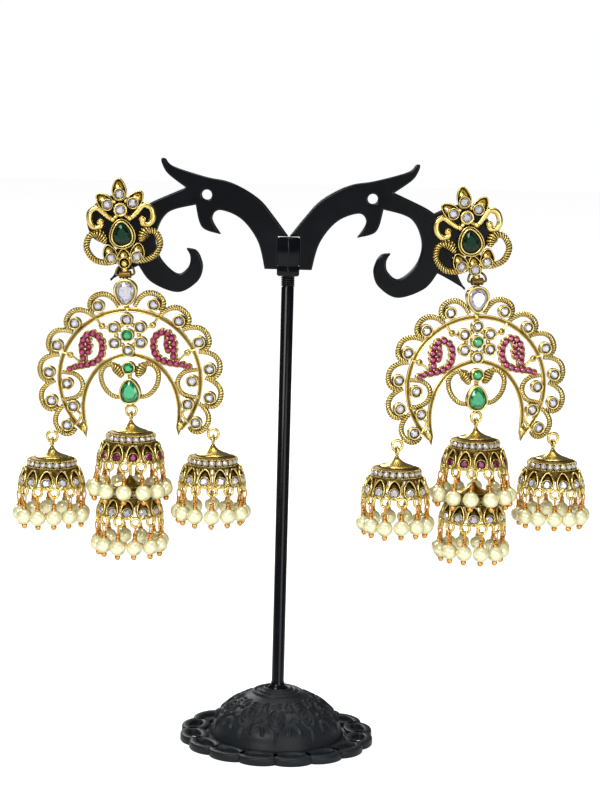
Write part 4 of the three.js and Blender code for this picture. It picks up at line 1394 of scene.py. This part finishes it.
            # painted shade: a dark dot stands for the hole in each cup
            dot = Matrix.Translation((x, 0, z)) @ upright_turn
            dark.lathe([(0, 1.06), (0.26, 1.04), (0.3, 0.9), (0.3, 0.5), (0, 0.5)], 12, dot)
        self.bench.piece("settings", gold, Slot.GOLD, SHOP.finishes.gold)
        self.bench.piece("setting_painted_shade", dark, Slot.GOLD, SHOP.finishes.shade)
        self.bench.piece("white_stones", stones, Slot.CRYSTAL, SHOP.finishes.crystal)

    def arms(self) -> None:
        """Makes the plain wires that hold the cups, the horn tips, the rings and the bail."""
        paths = [path for arm in self.cup_arms + self.tip_arms for path in both_sides(mirrored(arm, 1), 6)]
        self.bench.piece("small_arms", gold_wire(paths, 0.36, 0.3, 10), Slot.GOLD)
        spots = mirrored([self.end_ring], -1) + mirrored([self.end_ring, self.pendant_ring], 1)
        rings = [upright(circle_outline(self.ring_radius, 40) + spot) for spot in spots]
        self.bench.piece("hanging_rings", gold_wire(rings, 0.4, 0.25, closed=True), Slot.GOLD)
        posts = Draft()
        for sign in (-1, 1):
            posts.slab(mirrored(self.horn, sign), -0.45, 0.45)
        for top, bottom, wide in ((0.6, 2.2, 0.7), (7.2, 11.0, 0.6), (24.8, 27.2, 0.6), (32.2, 33.7, 0.7)):
            profile = [(0, -bottom), (wide, -bottom), (wide, -top), (0, -top)]
            posts.lathe(profile, 16, Matrix.Scale(0.7, 4, (0, 1, 0)))
        self.bench.piece("posts", posts, Slot.GOLD, SHOP.finishes.gold)
        barrel = Draft()
        band = [
            (0.62, -1.5), (0.9, -1.5), (1.0, -1.3), (0.86, -0.9), (0.86, 0.9), (1.0, 1.3), (0.9, 1.5),
            (0.62, 1.5),
        ]
        barrel.hoop(band, 40, Matrix.Rotation(math.pi / 2, 4, "Y"))
        # painted shade: the bail is made in the dark shade copy of the gold
        self.bench.piece("bail", barrel, Slot.GOLD, SHOP.finishes.shade)

    def birds(self) -> None:
        """Makes both birds: a strip of gold, a ruby at each place and a prong bead between two."""
        row = evened(smooth_path(self.bird, 12), self.ruby_pitch).tolist()
        upright_turn = Matrix.Rotation(math.pi / 2, 4, "X")
        for word, sign in (("left", -1), ("right", 1)):
            body, head = mirrored(row, sign), mirrored(self.bird_head, sign)
            rubies, strip = Draft(), Draft()
            for k, (x, z) in enumerate(body + head):
                size = 0.85 if k < len(body) - 2 else 0.75
                place = Matrix.Translation((x, 0, z))
                turned = place @ Matrix.Rotation(0.9 * k, 4, "Y")
                rubies.stone(circle_outline(size, 14), 0.72, 0.46, Cut.BRILLIANT, self.seed + 60 + k, turned)
                profile = [(0, -0.5), (size + 0.2, -0.5), (size + 0.24, 0.4), (size + 0.05, 0.74), (0, 0.74)]
                strip.lathe(profile, 20, turned @ upright_turn)
            for chain in (body, head):
                for start, end in zip(np.array(chain), np.array(chain[1:])):
                    side = np.array((start[1] - end[1], end[0] - start[0])) / np.linalg.norm(end - start)
                    for s in (-0.76, 0.76):
                        x, z = (start + end) / 2 + s * side
                        strip.ball((x, -1.02, z), 0.27, 10)
            self.bench.piece(f"bird_{word}_strip", strip, Slot.GOLD, SHOP.finishes.gold)
            self.bench.piece(f"bird_{word}_rubies", rubies, Slot.RUBY, SHOP.finishes.ruby, (f"ruby_{word}",))

    def coloured_stones(self) -> None:
        """Makes the crown pear, the flower's green middle and the two green stones of the drop."""
        gold, dark = Draft(), Draft()
        crystal, emerald = (Slot.CRYSTAL, SHOP.finishes.crystal), (Slot.EMERALD, SHOP.finishes.emerald)
        for name, outline, drop, wall, cut, dress in (
            ("crown_diamond", pear_outline(5.1, 5.8, -1.0, 40), 4.6, 0.6, Cut.STEP, crystal),
            ("flower_emerald", circle_outline(1.3, 24), self.flower_drop, 0.42, Cut.BRILLIANT, emerald),
            ("pendant_emerald_round", circle_outline(1.25, 24), 23.8, 0.48, Cut.BRILLIANT, emerald),
            ("pendant_emerald_pear", pear_outline(4.8, 5.7, 1.0, 40), 29.8, 0.55, Cut.STEP, emerald),
        ):
            girdle = outline + (0.0, -drop)
            gold.collar(girdle, wall, -self.half, 1.45)
            # painted shade: a dark floor behind each coloured stone
            dark.slab(girdle, -0.4, 0.7)
            stone = Draft()
            stone.stone(girdle, 1.0, 0.6, cut, self.seed + 90 + int(drop))
            self.bench.piece(f"{name}_cut", stone, *dress, (name,))
        self.bench.piece("coloured_settings", gold, Slot.GOLD, SHOP.finishes.gold)
        self.bench.piece("coloured_painted_shade", dark, Slot.GOLD, SHOP.finishes.shade)

    def build(self) -> None:
        """Makes the whole crescent."""
        self.rails()
        self.ropes()
        self.settings()
        self.arms()
        self.birds()
        self.coloured_stones()


@dataclass
class Bell:
    """One jhumki: a flared cap, a band of white stones, teardrop cells, eyelets and pearls."""

    bench: Bench
    word: str
    sink: float = 0.0
    cell_stones: Slot = Slot.CRYSTAL
    fringe_radius: float = 8.2
    seed: int = 1
    cells: int = 12
    band_stones: int = 22
    eyelet_radius: float = 8.42
    eyelet_drop: float = 13.2
    pearl_drop: float = 18.6
    pearl_radius: float = 2.05
    band_ring: tuple = (6.02, -5.28)
    cell_ring: tuple = (7.5, -9.0)
    eyelet_ring: tuple = (8.3, -12.0)

    def __post_init__(self) -> None:
        """Works out where the first cell and the first eyelet are."""
        self.start = 0.37 * self.seed
        self.between = self.start + math.pi / self.cells

    def build(self) -> None:
        """Makes the bell and its fringe."""
        self.cap()
        self.band()
        self.openwork()
        self.fringe()

    def add(self, part: str, mesh: bpy.types.Mesh | Draft, *dress: object) -> None:
        """Adds a part of the bell; gold that has its finish needs nothing after the mesh."""
        self.bench.piece(f"bell_{self.word}_{part}", mesh, *(dress or (Slot.GOLD,)))

    def at(self, height: float) -> float:
        """Returns a height of the bell in the bench's frame, whose level 0 is the hook's wire."""
        return height - self.sink

    def cap(self) -> None:
        """Makes the witch's hat cap, the roof under it, and the hook's ring and rod."""
        profile = [
            (0, -1.2), (0.42, -1.2), (0.55, -1.5), (0.85, -2.0), (1.5, -2.6), (2.4, -3.1), (3.4, -3.5),
            (4.15, -3.72), (4.25, -3.85), (4.15, -4.0), (3.4, -3.95), (0, -3.95),
        ]
        section = [
            (3.0, -3.9), (4.6, -4.05), (5.75, -4.35), (5.85, -6.15), (6.6, -6.5), (6.7, -6.75), (6.3, -6.75),
            (5.5, -6.3), (5.3, -5.0), (3.0, -4.6),
        ]
        place, hat, roof = Matrix.Translation((0, 0, self.at(0.0))), Draft(), Draft()
        hat.lathe(profile, 64, place)
        roof.hoop(section, 64, place)
        self.add("cap", hat, Slot.GOLD, SHOP.finishes.gold, (f"bell_{self.word}",))
        # painted shade: the roof under the cap is the dark shade copy of the gold
        self.add("roof", roof, Slot.GOLD, SHOP.finishes.shade)
        ring = circle_outline(1.0, 64)
        ring = np.column_stack([np.zeros(64), ring])
        rod = np.array([(0, 0, z) for z in np.linspace(-1.0, self.at(-1.4), 8)])
        self.add("hook", joined(gold_wire([ring], 0.34, 0.2, closed=True), gold_wire([rod], 0.4, 0.3)))

    def ringed(
        self,
        unit: bpy.types.Mesh | Draft,
        count: int,
        ring: Point,
        start: float,
        finish: bpy.types.Material,
        cut: bool = False,
    ) -> bpy.types.Mesh:
        """Sets copies of one shape round the bell.

        Args:
            unit: the shape.
            count: how many copies there are.
            ring: the ring's radius and its height.
            start: the angle of the first copy.
            finish: the finish of the copies.
            cut: whether the shape is a cut stone, whose facets stay flat.

        Returns:
            The copies as one mesh.
        """
        tree = SHOP.stones if cut else SHOP.ring
        mesh = unit.mesh("unit") if isinstance(unit, Draft) else unit
        return tree.grow(mesh, finish, Count=count, Radius=ring[0], Height=self.at(ring[1]), Start=start)

    def band(self) -> None:
        """Makes the band of small white stones between two rows of beads."""
        seat, gem, finishes = Draft(), Draft(), SHOP.finishes
        outward = placed(spin=math.pi / 2)
        seat.collar(circle_outline(0.72, 14), 0.13, -0.1, 0.3, outward)
        gem.stone(circle_outline(0.71, 12), 0.12, 0.34, Cut.BRILLIANT, self.seed, outward)
        ring = (self.band_stones, self.band_ring, 0.0)
        self.add("band_seats", self.ringed(seat, *ring, finishes.gold))
        self.add("band_stones", self.ringed(gem, *ring, finishes.crystal, cut=True), Slot.CRYSTAL)
        rows = level_rings([(5.95, self.at(-4.5)), (6.3, self.at(-6.2))], 71)
        beads = SHOP.beads.grow(path_mesh(rows, closed=True), finishes.gold, Radius=0.19, Step=0.42)
        self.add("band_beads", beads)

    def openwork(self) -> None:
        """Makes the teardrop cells with their stones and the open eyelets under them."""
        cell, floor, gem, finishes = Draft(), Draft(), Draft(), SHOP.finishes
        lean = placed(tip=math.radians(-15.0), spin=math.pi / 2)
        pear = pear_outline(2.95, 4.3, 1.0, 32)
        low = (0.0, -0.8)
        cell.collar(pear, 0.4, -0.3, 0.55, lean)
        cell.collar(circle_outline(1.16, 18) + low, 0.2, -0.2, 0.7, lean)
        floor.slab(pear, -0.25, 0.02, lean)
        gem.stone(circle_outline(1.1, 16) + low, 0.34, 0.5, Cut.BRILLIANT, self.seed + 5, lean)
        ring = (self.cells, self.cell_ring, self.start)
        stone = finishes.garnet if self.cell_stones is Slot.RUBY else finishes.crystal
        self.add("cells", self.ringed(cell, *ring, finishes.gold))
        # painted shade: dark floors inside the cells, for the shade seen through the openwork
        self.add("cell_painted_shade", self.ringed(floor, *ring, finishes.shade))
        self.add("cell_stones", self.ringed(gem, *ring, stone, cut=True), self.cell_stones)
        eye = np.column_stack([np.zeros(24), circle_outline(1.16, 24)])
        loop = gold_wire([eye], 0.4, 0.25, 8, closed=True)
        arms = [np.array([(-0.1, 2.0 * s, 1.5), (-0.05, 1.4 * s, 0.9), (0, s, 0.6)]) for s in (-1, 1)]
        unit = joined(loop, *(gold_wire([arm], 0.34, 0.3, 8) for arm in arms))
        self.add("eyelets", self.ringed(unit, self.cells, self.eyelet_ring, self.between, finishes.gold))

    def fringe(self) -> None:
        """Makes the pearls, each on its own wire through an eyelet, with a ball under it."""
        drop = self.pearl_drop - self.eyelet_drop
        hang = placed(roll=-math.atan((self.fringe_radius - self.eyelet_radius) / drop))
        pearl, ball = Draft(), Draft()
        pearl.ball((0, 0, -drop), self.pearl_radius, 28)
        ball.ball((0, 0, -drop - self.pearl_radius - 0.35), 0.78, 14)
        hole = [(0, 0.5), (0.62, 0.42), (0.74, 0.1), (0.6, -0.05), (0, -0.05)]
        ball.lathe([(r, z - drop + self.pearl_radius - 0.12) for r, z in hole], 16)
        turn = np.linspace(0, FULL_TURN, 26) + 0.25
        oval = np.column_stack([0.5 * np.sin(turn), 0 * turn, 1.15 * np.cos(turn) - 0.75])
        turn = np.linspace(0, 3.5 * FULL_TURN, 60)
        fall = -1.75 - (drop - self.pearl_radius - 1.9) * turn / turn[-1]
        coil = np.column_stack([0.42 * np.cos(turn), 0.42 * np.sin(turn), fall])
        wires = SHOP.wire.grow(path_mesh([oval, coil]), SHOP.finishes.wire, Radius=0.19, Step=0.18, Sides=7)
        whole, skin = joined(wires, ball.mesh("ball")), pearl.mesh("pearl")
        sizes = {
            "Count": self.cells, "Radius": self.eyelet_radius, "Height": self.at(-self.eyelet_drop),
            "Seed": self.seed, "Start": self.between, "Sway": 0.05, "Lift": 0.18,
        }
        prefix = f"fringe_{self.word}"
        for unit in (whole, skin):
            unit.transform(hang)
        pearls = SHOP.ring.grow(skin, SHOP.finishes.pearl, **sizes)
        self.bench.piece(f"{prefix}_pearls", pearls, Slot.PEARL, None, (prefix,))
        self.bench.piece(f"{prefix}_wires", SHOP.ring.grow(whole, SHOP.finishes.wire, **sizes), Slot.GOLD)


@dataclass
class Earring:
    """One whole earring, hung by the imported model's own joints."""

    side: str
    seed: int
    low_stone: bool
    pivot_drop: float = 10.3
    bells: tuple = (
        ("left", 0.0, Slot.CRYSTAL, 8.2), ("right", 0.0, Slot.CRYSTAL, 8.2), ("upper", 0.0, Slot.RUBY, 9.3),
        ("lower", 6.9, Slot.CRYSTAL, 8.2),
    )

    def joint(self, name: str) -> tuple[Vector, Vector]:
        """Returns the pivot, in millimetres, and the direction to the right along the hinge."""
        found = next(j for j in frame["joints"] if j["name"] == name)
        return Vector(found["pos_m"]) / MM, -Vector(found["axis"]).normalized()

    def hung(self, name: str) -> Matrix:
        """Returns the frame of the body that hangs from a joint."""
        pivot, across = self.joint(name)
        yaw = math.atan2(across.y, across.x)
        back = Vector((-math.sin(yaw), math.cos(yaw), 0))
        turn = Matrix((across, back, across.cross(back))).transposed().to_4x4()
        return Matrix.Translation(pivot) @ turn

    def stud_place(self) -> Matrix:
        """Returns the frame of the ear piece, from its post's nut and the link's pivot."""
        low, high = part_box(f"{self.side}_clutch")
        pivot, _ = self.joint(f"{self.side}_chand_swing")
        across, up = (low[0] + high[0]) / 2 / MM, (low[2] + high[2]) / 2 / MM
        roll = math.asin((pivot.x - across) / self.pivot_drop)
        return Matrix.Translation((across, 0, up)) @ Matrix.Rotation(-roll, 4, "Y")

    def link(self) -> None:
        """Makes the stud's own wire, which runs through the crescent's bail."""
        end = ((1.3, 0.9, 2.2), (2.15, 0.2, 1.3), (2.2, 0, 0))
        path = np.array([(-x, y, z) for x, y, z in end] + [(0, 0, 0)] + list(end[::-1]))
        seedling = path_mesh([smooth_path(path, 4)])
        # painted shade: the link is made in the dark shade copy of the gold
        wire = SHOP.wire.grow(seedling, SHOP.finishes.shade, Radius=0.3, Step=0.2, Sides=10)
        bench = Bench(self.hung(f"{self.side}_chand_swing"), "stand", f"{self.side}_")
        bench.piece("stud_link", wire, Slot.GOLD)

    def build(self) -> None:
        """Makes the ear piece, the crescent and the four bells."""
        prefix = f"{self.side}_"
        Stud(Bench(self.stud_place(), "stand", prefix), low_stone=self.low_stone, seed=self.seed).build()
        self.link()
        hung = Bench(self.hung(f"{prefix}chand_swing"), f"{prefix}chand", prefix)
        Crescent(hung, seed=self.seed + 40).build()
        for k, (word, sink, stones, fringe_radius) in enumerate(self.bells):
            bench = Bench(self.hung(f"{prefix}{word}_swing"), f"{prefix}bell_{word}", prefix)
            Bell(bench, word, sink, stones, fringe_radius, self.seed + k).build()
            if word == "upper":
                self.staple(bench)

    def staple(self, bench: Bench) -> None:
        """Makes the ring under the upper bell's roof that carries the lower bell."""
        radius, low = 1.35, -7.3
        ring = upright(circle_outline(radius, 32) + (0, radius + low))
        bench.piece("bell_upper_staple", gold_wire([ring], 0.4, 0.25, closed=True), Slot.GOLD)


@dataclass
class Studio:
    """Pale floor, soft lights and the camera of the photograph."""

    focal: float = 2079.0
    picture: tuple = (600, 800)
    pitch: float = 8.0
    lean: float = 1.5
    eye: tuple = (0.0039, -0.529, 0.164)
    soft: float = 0.62
    dim: float = 0.10
    white: float = 1.02
    lamps: tuple = (
        ("key", (-0.4, -0.8, 0.6), 0.45, 5.5), ("fill", (0.45, -0.9, 0.2), 0.6, 3.2),
        ("top", (0.05, 0.1, 0.95), 0.5, 4.0), ("back", (-0.35, 0.75, 0.5), 0.5, 3.0),
    )

    def light(self, name: str, at: Point, size: float, power: float) -> None:
        """Hangs one soft square light that faces the earrings."""
        lamp = bpy.data.lights.new(name, "AREA")
        lamp.size, lamp.energy = size, power
        piece = shown(name, lamp)
        piece.location = at
        aim = Vector((0, 0, 0.09)) - Vector(at)
        piece.rotation_euler = aim.to_track_quat("-Z", "Y").to_euler()

    def surround(self) -> None:
        """Makes the plain surroundings: white to look at, a dim room in what shines."""
        world = bpy.data.worlds.new("surroundings")
        world.use_nodes = True
        bpy.context.scene.world = world
        tree = world.node_tree
        shade = tree.nodes["Background"]
        shade.inputs["Color"].default_value = (1.0, 1.0, 1.0, 1.0)
        path = tree.nodes.new("ShaderNodeLightPath")
        shine = tree.nodes.new("ShaderNodeMix")
        shine.inputs["A"].default_value, shine.inputs["B"].default_value = self.soft, self.dim
        tree.links.new(path.outputs["Is Glossy Ray"], shine.inputs["Factor"])
        seen = tree.nodes.new("ShaderNodeMix")
        seen.inputs["B"].default_value = self.white
        tree.links.new(path.outputs["Is Camera Ray"], seen.inputs["Factor"])
        tree.links.new(shine.outputs["Result"], seen.inputs["A"])
        tree.links.new(seen.outputs["Result"], shade.inputs["Strength"])

    def build(self) -> None:
        """Makes the floor, the lights, the surroundings and the camera."""
        floor = Draft()
        floor.lathe([(0, -0.4), (4000, -0.4), (4000, 0.0), (0, 0.0)], 96)
        mesh = floor.mesh("floor")
        mesh.materials.append(PaleFloor().material())
        mesh.transform(Matrix.Scale(MM, 4))
        ground = shown("floor", mesh)
        for lamp in self.lamps:
            self.light(*lamp)
        self.surround()
        bpy.context.scene.view_settings.view_transform = "Standard"
        camera = bpy.data.cameras.new("camera")
        camera.sensor_width = 36.0
        camera.lens = self.focal / max(self.picture) * camera.sensor_width
        piece = shown("camera", camera)
        level = Matrix.Rotation(math.radians(90 - self.pitch), 4, "X")
        turn = level @ Matrix.Rotation(math.radians(self.lean), 4, "Z")
        piece.matrix_world = Matrix.Translation(self.eye) @ turn
        bpy.context.scene.camera = piece


SHOP = Workshop()


def main() -> None:
    """Builds the scene in order."""
    logging.basicConfig(level=logging.INFO, format="%(message)s")
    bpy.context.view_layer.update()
    Studio().build()
    DisplayStand().build()
    Earring("left", seed=3, low_stone=False).build()
    Earring("right", seed=9, low_stone=True).build()


if __name__ == "__main__":
    main()
